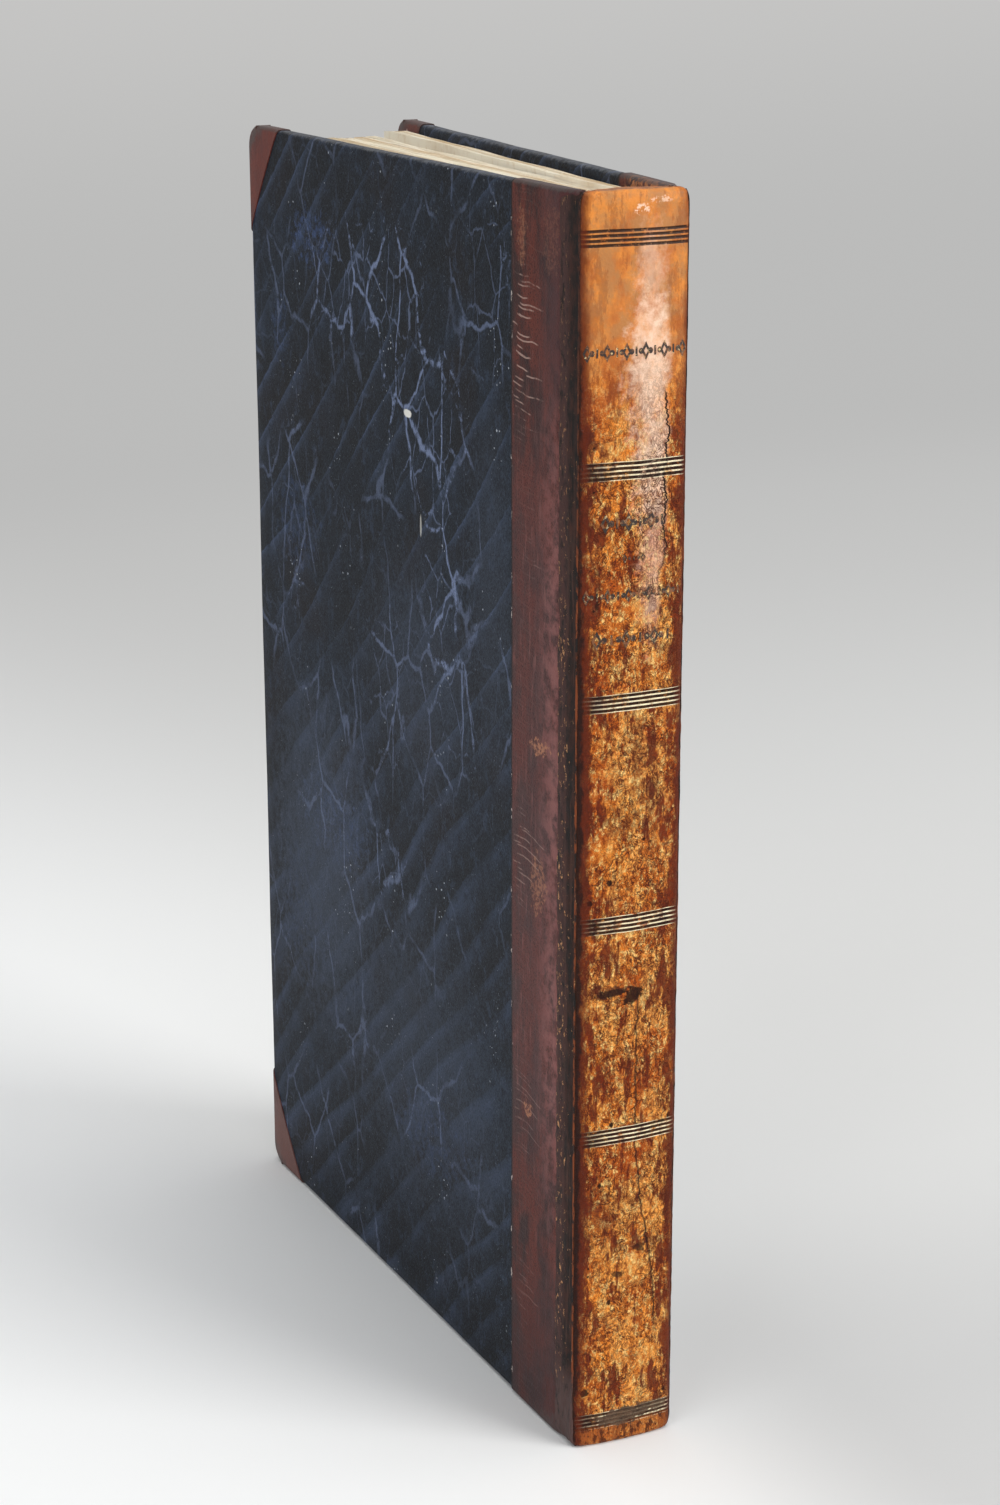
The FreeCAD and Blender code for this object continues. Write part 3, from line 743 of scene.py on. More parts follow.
@dataclass(frozen=True)
class TanCalf(Finish):
    """Polished tan calf of the spine: crazed, stained, and tooled with sets of lines, with a painted highlight on
    the upper back and painted shade at its sides.
    """

    amber: Colour = (0.500, 0.112, 0.0090)
    honey: Colour = (0.830, 0.265, 0.0300)
    flesh: Colour = (0.930, 0.420, 0.0900)
    cream: Colour = (1.000, 0.660, 0.2300)
    russet: Colour = (0.150, 0.0160, 0.0018)
    # Pale tone of the scuffs and of the painted highlight.
    pale: Colour = (0.86, 0.60, 0.44)
    soot: Colour = (0.014, 0.005, 0.0035)
    gilt: Colour = (1.00, 0.88, 0.60)
    bands: tuple = ()
    line_pitch: float = 0.78
    line_count: int = 4
    half_width: float = 10.0
    spots: tuple = ()
    stains: tuple = ()
    polished: tuple = ()
    smears: tuple = ()
    scuffed: tuple = ()
    crack_x: float = 5.9
    ember: Colour = (0.45, 0.082, 0.0065)
    fleck: Colour = (0.19, 0.024, 0.0018)
    head: Colour = (0.4, 0.185, 0.066)
    stain: Colour = (0.075, 0.012, 0.006)
    craze_tint: Colour = (0.07, 0.0085, 0.0012)
    tail: Colour = (0.43, 0.12, 0.022)
    singed: Colour = (0.06, 0.01, 0.003)
    smear: Colour = (0.042, 0.022, 0.014)
    smear_light: Colour = (0.2, 0.12, 0.072)
    # The next three colours darken the sides towards the joints and the caps: partly browned and rubbed leather,
    # partly painted shade.
    browned: Colour = (0.11, 0.015, 0.0028)
    edge: Colour = (0.018, 0.0055, 0.0035)
    worn: Colour = (0.06, 0.02, 0.01)

    def tooling(self, sheet: FinishSheet) -> tuple:
        """Finds the tooled lines by height.

        Args:
            sheet: Sheet of the material.

        Returns:
            Mask of the lines, and of the ridges between them.
        """
        wander = sheet.less(sheet.noise(sheet.place, 0.12, 2.0), 0.5)
        level = sheet.linear(wander, 0.35, sheet.z)
        half = self.line_pitch * self.line_count / 2
        lines, ridges = [], []
        for band in self.bands:
            below = sheet.less(level, band - half)
            inside = sheet.product(sheet.math("GREATER_THAN", below, 0.0),
                                   sheet.math("LESS_THAN", below, 2 * half))
            phase = sheet.math("FRACT", sheet.math("DIVIDE", below, self.line_pitch))
            away = sheet.away(phase, 0.5)
            lines.append(sheet.product(inside, sheet.fade(away, 0.38, 0.28)))
            ridges.append(sheet.product(inside, sheet.fade(away, 0.29, 0.36)))
        return sheet.largest(*lines), sheet.largest(*ridges)

    def long_crack(self, sheet: FinishSheet) -> tuple:
        """The split that runs down the right of the upper spine, and its place.

        Args:
            sheet: Sheet of the material.

        Returns:
            1 on the crack, and 1 to the left of it.
        """
        across, height = sheet.x, sheet.z
        rough = sheet.drawn((0.0, 0.0, 0.16), 1.0, 6.0, 0.7)
        drift = sheet.less(rough, 0.5)
        lean = sheet.linear(sheet.fade(height, 178.0, 150.0), -1.2, self.crack_x)
        path = sheet.linear(drift, 6.5, lean)
        signed = sheet.less(across, path)
        upper = sheet.product(sheet.fade(height, 150.0, 172.0), sheet.fade(height, 193.0, 191.0))
        foot_path = sheet.linear(sheet.fade(height, 60.0, 25.0), 4.2, 1.6)
        foot_path = sheet.linear(drift, 3.5, foot_path)
        foot_away = sheet.away(across, foot_path)
        foot = sheet.product(sheet.fade(height, 19.0, 24.0), sheet.fade(height, 92.0, 84.0), 0.75)
        crack = sheet.math("MAXIMUM",
                           sheet.product(sheet.fade(sheet.math("ABSOLUTE", signed), 0.24, 0.09), upper),
                           sheet.product(sheet.fade(foot_away, 0.26, 0.09), foot))
        return crack, sheet.fade(signed, 0.9, -0.3)

    def craze(self, sheet: FinishSheet, lower: Socket) -> tuple:
        """Net of cracks in the old polish, and the flecks that it leaves.

        Args:
            sheet: Sheet of the material.
            lower: Share of the crazing by height.

        Returns:
            Masks of the cracks, of the dark flecks and of the bright ones.
        """
        wide = sheet.drawn((1.0, 1.0, 0.8), 0.62, 3.0, 0.62, 0.9)
        beside = sheet.stretch(sheet.place, (1.0, 1.0, 0.75), (7.0, 3.0, 5.0))
        close = sheet.noise(beside, 1.25, 3.0, 0.7, 0.6)
        nets = []
        for value, width in ((wide, 0.042), (close, 0.056)):
            away = sheet.away(value, 0.5)
            nets.append(sheet.fade(away, width, 0.25 * width))
        patchy = sheet.patches(0.34, 0.54, sheet.place, 0.22, 4.0, 0.65)
        net = sheet.math("MAXIMUM", nets[0], sheet.product(nets[1], 0.75))
        mottle = sheet.drawn((1.0, 1.0, 0.7), 0.9, 6.0, 0.85)
        dark = sheet.product(sheet.fade(mottle, 0.47, 0.40), lower)
        bright = sheet.product(sheet.fade(mottle, 0.52, 0.58), lower)
        return sheet.product(net, sheet.linear(patchy, 0.6, 0.4), lower), dark, bright

    def surface(self, sheet: FinishSheet) -> tuple:
        """Adds the nodes of the surface.

        Args:
            sheet: Sheet of the material.

        Returns:
            Colour, roughness and normal.
        """
        across, height = sheet.x, sheet.z
        side = sheet.math("ABSOLUTE", across)
        broad = sheet.drawn((1.0, 1.0, 0.75), 0.19, 5.0, 0.65)
        colour = sheet.lay(self.amber, self.honey, sheet.fade(broad, 0.38, 0.62))
        lower = sheet.fade(height, 206.0, 176.0)
        crazed, dark, bright = self.craze(sheet, lower)
        fleshy = sheet.drawn((1.0, 1.0, 0.6), 0.22, 6.0, 0.72)
        fleshy = sheet.linear(sheet.fade(across, -8.0, 2.0), 0.07, fleshy)
        warmth = sheet.fade(sheet.drawn((1.0, 1.0, 0.7), 0.075, 4.0, 0.6), 0.44, 0.58)
        colour = sheet.lay(colour, self.ember, warmth, lower, 0.55)
        fleshy = sheet.linear(warmth, -0.05, fleshy)
        colour = sheet.lay(colour, self.flesh, sheet.fade(fleshy, 0.49, 0.58), lower, 0.6)
        colour = sheet.lay(colour, self.cream, bright, 0.85)
        colour = sheet.lay(colour, self.fleck, dark, 0.82)
        blotched = sheet.fade(sheet.drawn((1.0, 1.0, 0.8), 0.3, 6.0, 0.7), 0.4, 0.6)
        head = sheet.product(sheet.fade(height, 184.0, 206.0), sheet.linear(blotched, 0.5, 0.36))
        colour = sheet.lay(colour, self.head, head)
        tears = sheet.drawn((1.0, 1.0, 0.3), 0.4, 6.0, 0.74)
        level = sheet.linear(sheet.fade(side, 4.5, 10.0), 0.11, tears)
        russet = sheet.product(sheet.fade(level, 0.53, 0.59), sheet.linear(lower, 0.65, 0.35))
        colour = sheet.lay(colour, self.russet, russet, 0.92)
        stains = sheet.marks(self.stains, 0.7)
        torn = sheet.fade(sheet.drawn((1.0, 1.0, 0.5), 0.9, 5.0, 0.7), 0.36, 0.56)
        colour = sheet.lay(colour, self.stain, stains, torn)
        crack, left = self.long_crack(sheet)
        # Painted highlight, partly pale polished wear: soft pale patches on the upper back, left of the long
        # crack.
        glow = sheet.marks(self.polished, 0.5, True)
        highlight_breakup = sheet.patches(0.3, 0.66, sheet.place, 0.6, 5.0, 0.7)
        glow = sheet.product(glow, left, sheet.linear(highlight_breakup, 0.45, 0.62))
        colour = sheet.lay(colour, self.pale, glow, 0.92)
        colour = sheet.lay(colour, self.craze_tint, crazed, 0.95)
        scuffed = sheet.marks(self.scuffed, 0.5)
        flaked = sheet.patches(0.5, 0.55, sheet.place, 1.3, 4.0, 0.7)
        colour = sheet.lay(colour, self.pale, scuffed, flaked, 0.85)
        colour = sheet.lay(colour, self.soot, crack)
        pits = sheet.effect("specks", Scale=0.55, Share=0.16, Size=0.26)
        spots = sheet.marks(self.spots, 0.6)
        dark_spots = sheet.math("MAXIMUM", spots, sheet.product(pits, lower))
        colour = sheet.lay(colour, self.soot, dark_spots, 0.94)
        lines, ridges = self.tooling(sheet)
        kept = sheet.patches(0.24, 0.46, sheet.place, 0.9, 4.0, 0.7)
        bright_gilt = sheet.patches(0.34, 0.54, sheet.place, 0.35, 5.0, 0.7)
        centre = sheet.product(sheet.fade(across, -8.5, -2.0), sheet.fade(across, 10.0, 8.0))
        middle = sheet.linear(centre, 0.8, 0.16)
        dull = sheet.less(1.0, middle)
        colour = sheet.lay(colour, self.soot, ridges, dull, lower)
        colour = sheet.lay(colour, self.gilt, ridges, bright_gilt, middle, lower)
        colour = sheet.lay(colour, self.soot, lines, kept, 0.94)
        smear = sheet.marks(self.smears, 0.7)
        streaks = sheet.fade(sheet.drawn((0.5, 1.0, 2.2), 0.9, 4.0, 0.7), 0.34, 0.6)
        tail = sheet.fade(height, 4.2, 3.2)
        colour = sheet.lay(colour, self.tail, tail, 0.6)
        singed = sheet.product(sheet.fade(torn, 0.62, 0.30), sheet.fade(height, 5.0, 3.6), 0.85)
        colour = sheet.lay(colour, self.singed, singed)
        colour = sheet.lay(colour, self.smear, smear, 0.92)
        colour = sheet.lay(colour, self.smear_light, smear, streaks, 0.5)
        # Painted shade, partly browned leather: the sides darken towards the joints, most on the left and on the
        # lower back, less at head and tail.
        ragged = sheet.drawn((1.0, 1.0, 0.45), 0.7, 5.0, 0.7)
        shade = sheet.linear(ragged, 2.8, sheet.math("ADD", side, -0.75))
        shade = sheet.linear(sheet.math("LESS_THAN", across, 0.0), 0.75, shade)
        ends = sheet.math("MAXIMUM", sheet.fade(height, 203.0, 209.0), sheet.fade(height, 15.0, 10.0))
        shade = sheet.linear(ends, -0.45, shade)
        shade = sheet.linear(sheet.fade(height, 176.0, 140.0), 0.55, shade)
        browned = sheet.product(sheet.fade(shade, self.half_width - 1.2, self.half_width + 0.6), 0.85)
        colour = sheet.lay(colour, self.browned, browned)
        edge = sheet.fade(shade, self.half_width + 0.5, self.half_width + 1.2)
        colour = sheet.lay(colour, self.edge, edge, 0.92)
        # Darkens the caps and the sides where the back turns into the joints: rubbing on the caps, painted shade
        # by the joints.
        worn = sheet.effect("wear_and_shade_edge", Reach=0.5)
        colour = sheet.lay(colour, self.worn, worn, 0.8)
        gloss = sheet.linear(glow, -0.1, sheet.linear(broad, 0.25, 0.29))
        matt = sheet.math("MAXIMUM", sheet.product(crazed, 0.6), sheet.product(dark_spots, 0.8))
        rough = sheet.math("MAXIMUM", gloss, matt)
        grain = sheet.effect("fine_grain", Scale=2.0)
        relief = sheet.linear(crazed, -0.6, sheet.product(grain, 0.5))
        relief = sheet.linear(bright, 0.35, relief)
        relief = sheet.linear(russet, -0.3, relief)
        relief = sheet.linear(crack, -1.2, relief)
        normal = sheet.bump(relief, 0.18 * MM, 0.8)
        return colour, rough, normal


@dataclass(frozen=True)
class JointCalf(Finish):
    """Perished leather in the joints: near black, partly as painted shade in the deep groove, flaking, with bare
    tan fibres.
    """

    # Near black: partly perished leather, partly painted shade in the deep groove.
    black: Colour = (0.0055, 0.0026, 0.0020)
    brown: Colour = (0.040, 0.0130, 0.0080)
    fibre: Colour = (0.66, 0.33, 0.14)
    rib: Colour = (0.11, 0.045, 0.03)
    grey: Colour = (0.07, 0.03, 0.027)
    tanned: Colour = (0.24, 0.052, 0.009)
    foot: Colour = (0.088, 0.05, 0.045)

    def surface(self, sheet: FinishSheet) -> tuple:
        """Adds the nodes of the surface.

        Args:
            sheet: Sheet of the material.

        Returns:
            Colour, roughness and normal.
        """
        patches = sheet.drawn((1.0, 1.0, 0.4), 0.8, 5.0, 0.7)
        colour = sheet.lay(self.black, self.brown, sheet.fade(patches, 0.4, 0.66))
        height = sheet.z
        torn = sheet.attribute("torn")
        # Ribs and tanned patches thin out towards the head, leaving the upper joint black as painted shade.
        ribs = sheet.fade(sheet.drawn((1.6, 1.6, 0.05), 1.0, 4.0, 0.6), 0.5, 0.62)
        below = sheet.linear(sheet.fade(height, 205.0, 150.0), 0.8, 0.2)
        colour = sheet.lay(colour, self.rib, ribs, below, 0.34)
        grey = sheet.product(torn, sheet.fade(patches, 0.34, 0.50))
        colour = sheet.lay(colour, self.grey, grey, 0.7)
        tanned = sheet.product(sheet.attribute("tanned"), sheet.fade(patches, 0.42, 0.56), below, 0.80)
        colour = sheet.lay(colour, self.tanned, tanned)
        specks = sheet.drawn((1.0, 1.0, 0.35), 1.9, 5.0, 0.75)
        level = sheet.linear(torn, 0.05, specks)
        flecks = sheet.fade(level, 0.635, 0.68)
        lower = sheet.product(sheet.fade(height, 215.0, 120.0), sheet.fade(height, 8.0, 16.0))
        colour = sheet.lay(colour, self.fibre, flecks, sheet.linear(lower, 0.7, 0.2))
        foot = sheet.product(sheet.fade(height, 17.0, 9.0), sheet.fade(patches, 0.26, 0.52))
        colour = sheet.lay(colour, self.foot, foot, 0.9)
        rough = sheet.linear(patches, 0.4, 0.4)
        normal = sheet.bump(patches, 0.3 * MM, 0.8)
        return colour, rough, normal


@dataclass(frozen=True)
class AgedPaper(Finish):
    """Rag paper, browned at its edges and foxed."""

    cream: Colour = (0.98, 0.92, 0.78)
    tan: Colour = (0.68, 0.51, 0.31)
    foxed: Colour = (0.38, 0.20, 0.09)
    edge_tone: bool = True
    stained: float = 0.5

    def surface(self, sheet: FinishSheet) -> tuple:
        """Adds the nodes of the surface.

        Args:
            sheet: Sheet of the material.

        Returns:
            Colour, roughness and normal.
        """
        stained = sheet.drawn((1.0, 0.5, 0.5), 0.09, 4.0, 0.6)
        colour = sheet.lay(self.cream, self.tan, sheet.fade(stained, 0.45, 0.75), self.stained)
        if self.edge_tone:
            tone = sheet.attribute("tone")
            colour = sheet.lay(colour, self.tan, sheet.fade(tone, 0.5, 1.0), 0.7)
            streak = sheet.drawn((9.0, 0.05, 0.4), 1.0, 3.0, 0.6)
            colour = sheet.lay(colour, self.tan, sheet.fade(streak, 0.5, 0.75), 0.36)
        spots = sheet.effect("specks", Scale=0.16, Share=0.22, Size=0.18)
        soft = sheet.product(spots, sheet.noise(sheet.place, 0.8, 3.0), 0.7)
        colour = sheet.lay(colour, self.foxed, soft)
        fibre = sheet.noise(sheet.place, 2.4, 5.0, 0.7)
        rough = sheet.linear(fibre, 0.2, 0.72)
        normal = sheet.bump(fibre, 0.04 * MM, 0.5)
        return colour, rough, normal


@dataclass(frozen=True)
class RawStuff(Finish):
    """Millboard, card, hemp and paste linings, which hardly show."""

    base: Colour = (0.30, 0.24, 0.17)
    dark: Colour = (0.18, 0.14, 0.09)

    def surface(self, sheet: FinishSheet) -> tuple:
        """Adds the nodes of the surface.

        Args:
            sheet: Sheet of the material.

        Returns:
            Colour, roughness and normal.
        """
        fibres = sheet.drawn((1.0, 1.0, 3.0), 0.9, 5.0, 0.7)
        colour = sheet.lay(self.base, self.dark, sheet.fade(fibres, 0.3, 0.7))
        rough = sheet.linear(fibres, 0.2, 0.7)
        normal = sheet.bump(fibres, 0.1 * MM, 0.5)
        return colour, rough, normal


@dataclass(frozen=True)
class WornGilt(Finish):
    """Small stamps on the spine, dark with remains of gold."""

    gold: Colour = (0.70, 0.50, 0.24)
    dark: Colour = (0.020, 0.008, 0.004)
    bare: Colour = (0.20, 0.07, 0.020)

    def surface(self, sheet: FinishSheet) -> tuple:
        """Adds the nodes of the surface.

        Args:
            sheet: Sheet of the material.

        Returns:
            Colour and roughness.
        """
        left = sheet.noise(sheet.place, 1.6, 4.0, 0.7)
        colour = sheet.lay(self.dark, self.gold, sheet.fade(left, 0.56, 0.64))
        lost = sheet.patches(0.5, 0.58, sheet.place, 0.9, 5.0, 0.75)
        colour = sheet.lay(colour, self.bare, lost)
        rough = sheet.linear(left, 0.3, 0.3)
        return colour, rough


# Mesh tools


def deselect() -> None:
    """Leaves edit mode and selects nothing."""
    if bpy.context.object and bpy.context.object.mode != "OBJECT":
        bpy.ops.object.mode_set(mode="OBJECT")
    bpy.ops.object.select_all(action="DESELECT")


def make_active(piece: Piece) -> None:
    """Selects one object alone.

    Args:
        piece: Object to work on.
    """
    deselect()
    piece.select_set(True)
    bpy.context.view_layer.objects.active = piece


def settle(piece: Piece) -> None:
    """Moves an object's place, turn and scale into its mesh.

    Args:
        piece: Object to settle.
    """
    make_active(piece)
    bpy.ops.object.transform_apply(location=True, rotation=True, scale=True)


def apply_modifier(piece: Piece, name: str, kind: str, **settings: object) -> None:
    """Adds a modifier and applies it.

    Args:
        piece: Object to change.
        name: Name of the modifier.
        kind: Its type.
        settings: Its attributes.
    """
    modifier = piece.modifiers.new(name, kind)
    for key, value in settings.items():
        setattr(modifier, key, value)
    make_active(piece)
    bpy.ops.object.modifier_apply(modifier=name)


def place_vertices(piece: Piece, move: Callable[[Vector], Vector]) -> None:
    """Moves each vertex by a function of its place.

    Args:
        piece: Object with a settled mesh.
        move: Function from the old place to the new.
    """
    for vertex in piece.data.vertices:
        vertex.co = move(vertex.co)
    piece.data.update()


def edit_faces(piece: Piece, operate: Callable[[], object],
               chosen: Optional[Callable] = None, kind: str = "FACE") -> None:
    """Runs an edit-mode operator on chosen elements.

    Args:
        piece: Object to edit.
        operate: Operator to run.
        chosen: Test on each face, edge or vertex; all are taken without it.
        kind: FACE, EDGE or VERT.
    """
    make_active(piece)
    bpy.ops.object.mode_set(mode="EDIT")
    bpy.ops.mesh.select_mode(type=kind)
    bpy.ops.mesh.select_all(action="SELECT" if chosen is None else "DESELECT")
    bpy.ops.object.mode_set(mode="OBJECT")
    if chosen is not None:
        elements = {"FACE": piece.data.polygons, "EDGE": piece.data.edges,
                    "VERT": piece.data.vertices}[kind]
        for element in elements:
            element.select = chosen(element)
    bpy.ops.object.mode_set(mode="EDIT")
    operate()
    bpy.ops.object.mode_set(mode="OBJECT")


def face_outwards(piece: Piece) -> None:
    """Turns all faces of a closed mesh outwards.

    Args:
        piece: Object to correct.
    """
    edit_faces(piece, lambda: bpy.ops.mesh.normals_make_consistent(inside=False))


def face_towards(piece: Piece, direction: tuple, index: int = 0) -> None:
    """Turns an open sheet by the side that one of its faces should show.

    Args:
        piece: Sheet to turn.
        direction: Where the face should look, roughly.
        index: Number of the face.
    """
    face_outwards(piece)
    if piece.data.polygons[index].normal.dot(Vector(direction)) < 0:
        edit_faces(piece, bpy.ops.mesh.flip_normals)


def cut(piece: Piece, place: tuple, normal: tuple, **clear: bool) -> None:
    """Cuts a mesh along a plane.

    Args:
        piece: Object to cut.
        place: A place on the plane.
        normal: Its normal.
        clear: Whether to fill the cut and clear one side.
    """
    edit_faces(piece, lambda: bpy.ops.mesh.bisect(plane_co=place, plane_no=normal, **clear))


def name_active(name: str) -> Piece:
    """Names the active object and its mesh, and returns it."""
    piece = bpy.context.object
    piece.name = piece.data.name = name
    return piece


def join(pieces: list, name: str) -> Piece:
    """Joins pieces into one.

    Args:
        pieces: Objects to join.
        name: Name of the result.

    Returns:
        The joined piece.
    """
    deselect()
    for piece in pieces:
        piece.select_set(True)
    bpy.context.view_layer.objects.active = pieces[0]
    bpy.ops.object.join()
    return name_active(name)


def thicken(piece: Piece, thickness: float, offset: float = 0.0) -> None:
    """Gives a sheet its thickness: inside it at offset -1, half on each side at 0."""
    apply_modifier(piece, "thickness", "SOLIDIFY", thickness=thickness, offset=offset)


def grid_sheet(name: str, columns: int, rows: int, shape: Callable[[float, float], Vector],
               spaced: Optional[Callable[[float], float]] = None) -> Piece:
    """Adds a grid and lays it along a surface.

    Args:
        name: Name of the piece.
        columns: Faces along the first direction.
        rows: Faces along the second direction.
        shape: Place of the point at shares s and t.
        spaced: Spacing of the rows, from an even share to the wanted one.

    Returns:
        The sheet.
    """
    deselect()
    bpy.ops.mesh.primitive_grid_add(x_subdivisions=columns, y_subdivisions=rows, size=1.0)
    piece = name_active(name)

    def lay(place: Vector) -> Vector:
        """Maps the flat grid to the surface."""
        share = clamp(place.y + 0.5)
        return shape(clamp(place.x + 0.5), spaced(share) if spaced else share)

    place_vertices(piece, lay)
    return piece


def smooth(piece: Piece, degrees: float = 35.0) -> None:
    """Shades a piece smooth up to an angle.

    Args:
        piece: Object to shade.
        degrees: Sharpest angle that stays smooth.
    """
    make_active(piece)
    bpy.ops.object.shade_smooth_by_angle(angle=math.radians(degrees))


def coat(piece: Piece, material: Material) -> None:
    """Gives a piece one material."""
    piece.data.materials.clear()
    piece.data.materials.append(material)


def dress(piece: Piece, material: Material) -> None:
    """Gives a piece one material.

    Args:
        piece: Object to dress.
        material: Its material.
    """
    coat(piece, material)


def paint(piece: Piece, name: str, value: Callable[[Vector], float]) -> None:
    """Stores a value on each vertex for the material to read.

    Args:
        piece: Object with a finished mesh.
        name: Name of the attribute.
        value: Function of the vertex's place.
    """
    attribute = piece.data.attributes.get(name) or piece.data.attributes.new(name, "FLOAT", "POINT")
    attribute.data.foreach_set("value", [value(v.co) for v in piece.data.vertices])


def clamp(value: float, low: float = 0.0, high: float = 1.0) -> float:
    """Keeps a value within limits."""
    return min(max(value, low), high)


def ripple(x: float, y: float, z: float) -> float:
    """Smooth noise at a place, from about -1 to 1."""
    return noise.noise(Vector((x, y, z)))


def along_path(path: Sequence, along: float) -> Vector:
    """Place on a line of straight runs.

    Args:
        path: Its corners.
        along: Number of the corner, with the share of the run after it.

    Returns:
        The place.
    """
    index = min(int(along), len(path) - 2)
    return path[index].lerp(path[index + 1], along - index)


def ramp(value: float, start: float, end: float) -> float:
    """Smooth step.

    Args:
        value: Input.
        start: Where the result is 0.
        end: Where the result is 1.

    Returns:
        A share from 0 to 1.
    """
    share = clamp((value - start) / (end - start))
    return share * share * (3 - 2 * share)


# The book


@dataclass
class BookFrame:
    """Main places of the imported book, read from its frame."""

    head: float = field(init=False)
    hinge_x: float = field(init=False)
    hinge_y: float = field(init=False)
    splay: float = field(init=False)
    board_reach: float = field(init=False)

    def __post_init__(self) -> None:
        """Reads the joints, the cover's mount and the boxes of the pieces."""
        joints = {joint["name"]: joint for joint in frame["joints"]}
        mounts = {mount["name"]: mount for mount in frame["record"]["mounts"]}
        self.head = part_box("back_joint_leather")[1].z
        self.hinge_x, self.hinge_y, _ = joints["front_cover_hinge"]["pos_m"]
        self.splay = math.asin(-mounts["front_cover_face"]["axis"][1])
        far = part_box("front_head_corner")[1].y - self.hinge_y
        self.board_reach = (far - 3.15 * MM * math.sin(self.splay)) / math.cos(self.splay)

    def on_cover(self, side: Side, depth: float, reach: float, height: float) -> Vector:
        """Place on a cover at rest.

        Args:
            side: Which cover.
            depth: Depth below the leather's outer face.
            reach: Distance from the joint towards the fore-edge.
            height: Height above the tail.

        Returns:
            The place in the row frame.
        """
        sine, cosine = math.sin(self.splay), math.cos(self.splay)
        x = self.hinge_x - depth * cosine + reach * sine
        y = self.hinge_y + depth * sine + reach * cosine
        return Vector((side.value * x, y, height))


@dataclass
class Leaves:
    """The text block: leaves in clumps, fanned, with one open gap."""

    book: BookFrame
    seed: int = 1871
    count: int = 128
    past_gap: int = 24
    leaf_thickness: float = 0.115 * MM
    spine_half: float = 6.55 * MM
    fan_start: float = 31.0 * MM
    gap_width: float = 4.3 * MM
    past_gap_width: float = 3.5 * MM
    fore_edge: float = 135.0 * MM
    tail: float = 3.0 * MM
    head: float = 222.0 * MM
    raised: float = 0.9 * MM
    room_at_joint: float = 6.65 * MM
    clump_gap: float = 0.16 * MM
    columns: int = 26
    row_places: tuple = (0.0, 0.012, 0.25, 0.5, 0.75, 0.9, 0.985, 1.0)

    def wall(self, reach: float) -> float:
        """Half the room between the covers at a distance from the joint.

        Args:
            reach: Distance from the joint.

        Returns:
            Half the room, in metres.
        """
        return self.room_at_joint + reach * math.tan(self.book.splay)

    def spread(self, rng: random.Random) -> list:
        """Places of the leaves at the fore-edge, in clumps with gaps between them.

        Args:
            rng: Seeded source of chance.

        Returns:
            X of each leaf at the fore-edge.
        """
        half = self.wall(self.fore_edge)
        near = self.count - self.past_gap
        groups = ((near, -half, half - self.past_gap_width - self.gap_width),
                  (self.past_gap, half - self.past_gap_width, half))
        pitch = self.leaf_thickness * 1.08
        places = []
        for number, low, high in groups:
            steps = []
            while len(steps) < number - 1:
                clump = rng.choice((1, 2, 3, 4, 5, 6))
                steps += [0.0] * min(clump, number - 1 - len(steps))
                if len(steps) < number - 1:
                    steps.append(rng.uniform(0.4, 1.6))
            spare = (high - low) - pitch * (number - 1)
            scale = spare / sum(steps)
            x = low
            places.append(x)
            for step in steps:
                x += pitch + step * scale
                places.append(x)
        return places

    def leaf(self, index: int, far: float, rng: random.Random, lift: float, trim: float,
             wave: tuple) -> Piece:
        """One leaf as a thin waved sheet.

        Args:
            index: Number of the leaf.
            far: Its x at the fore-edge.
            rng: Seeded source of chance.
            lift: How far its head stands above the common line.
            trim: How far it falls short of the fore-edge.
            wave: Phase and size of its cockling.

        Returns:
            The leaf.
        """
        share = (index + 0.5) / self.count
        near = self.spine_half * (2 * share - 1)
        middle = self.wall(self.fan_start) * (2 * share - 1)
        phase, size = wave
        own = rng.uniform(0, 6.28)
        slope = rng.uniform(-0.25, 0.25) * MM

        def shape(s: float, t: float) -> Vector:
            """Place of the leaf's point at shares s and t."""
            reach = 0.6 * MM + (self.fore_edge - trim - 0.6 * MM) * s
            if reach < self.fan_start:
                x = near + (middle - near) * reach / self.fan_start
            else:
                part = (reach - self.fan_start) / (self.fore_edge - self.fan_start)
                x = middle + (far - middle) * part
            edge = 2 * abs(t - 0.5)
            x += size * math.sin(phase + 9.0 * s) * s * edge ** 4
            limit = self.wall(reach)
            x = clamp(x, -limit, limit)
            top = self.head + lift + 0.10 * MM * math.sin(own + 21.0 * s) + slope * s
            top -= 0.5 * MM * ramp(s, 0.975, 1.0)
            bottom = self.tail + 0.15 * MM
            height = bottom + (top - bottom) * t
            return Vector((x, self.book.hinge_y + reach, height))

        rows = len(self.row_places) - 1
        return grid_sheet(f"leaf_{index}", self.columns, rows, shape,
                          lambda t: self.row_places[round(t * rows)])

    def build(self, material: Material) -> None:
        """Builds all leaves as one piece in place of the text block.

        Args:
            material: Paper of the leaves.
        """
        rng = random.Random(self.seed)
        places = self.spread(rng)
        pieces = []
        near = self.count - self.past_gap
        lift, trim, wave, tone = 0.0, 0.0, (0.0, 0.0), 0.3
        for index, far in enumerate(places):
            if index == 0 or far - places[index - 1] > self.clump_gap or index == near:
                lift = rng.uniform(-0.45, 0.25) * MM + (self.raised if index >= near else 0.0)
                trim = rng.uniform(0.0, 1.1) * MM
                wave = (rng.uniform(0, 6.28), rng.uniform(0.05, 0.28) * MM)
                tone = rng.uniform(0.0, 1.0)
            piece = self.leaf(index, far, rng, lift + rng.uniform(-0.09, 0.09) * MM,
                              trim + rng.uniform(0, 0.15) * MM, wave)
            shade = clamp(tone * 0.75 + rng.uniform(-0.2, 0.35))
            paint(piece, "tone", lambda place, shade=shade: shade)
            pieces.append(piece)
        block = join(pieces, "leaves")
        thicken(block, self.leaf_thickness)
        smooth(block, 60.0)
        dress(block, material)
        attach(block, "book_block")
        log.info("leaves: %d of them, %d faces", self.count, len(block.data.polygons))

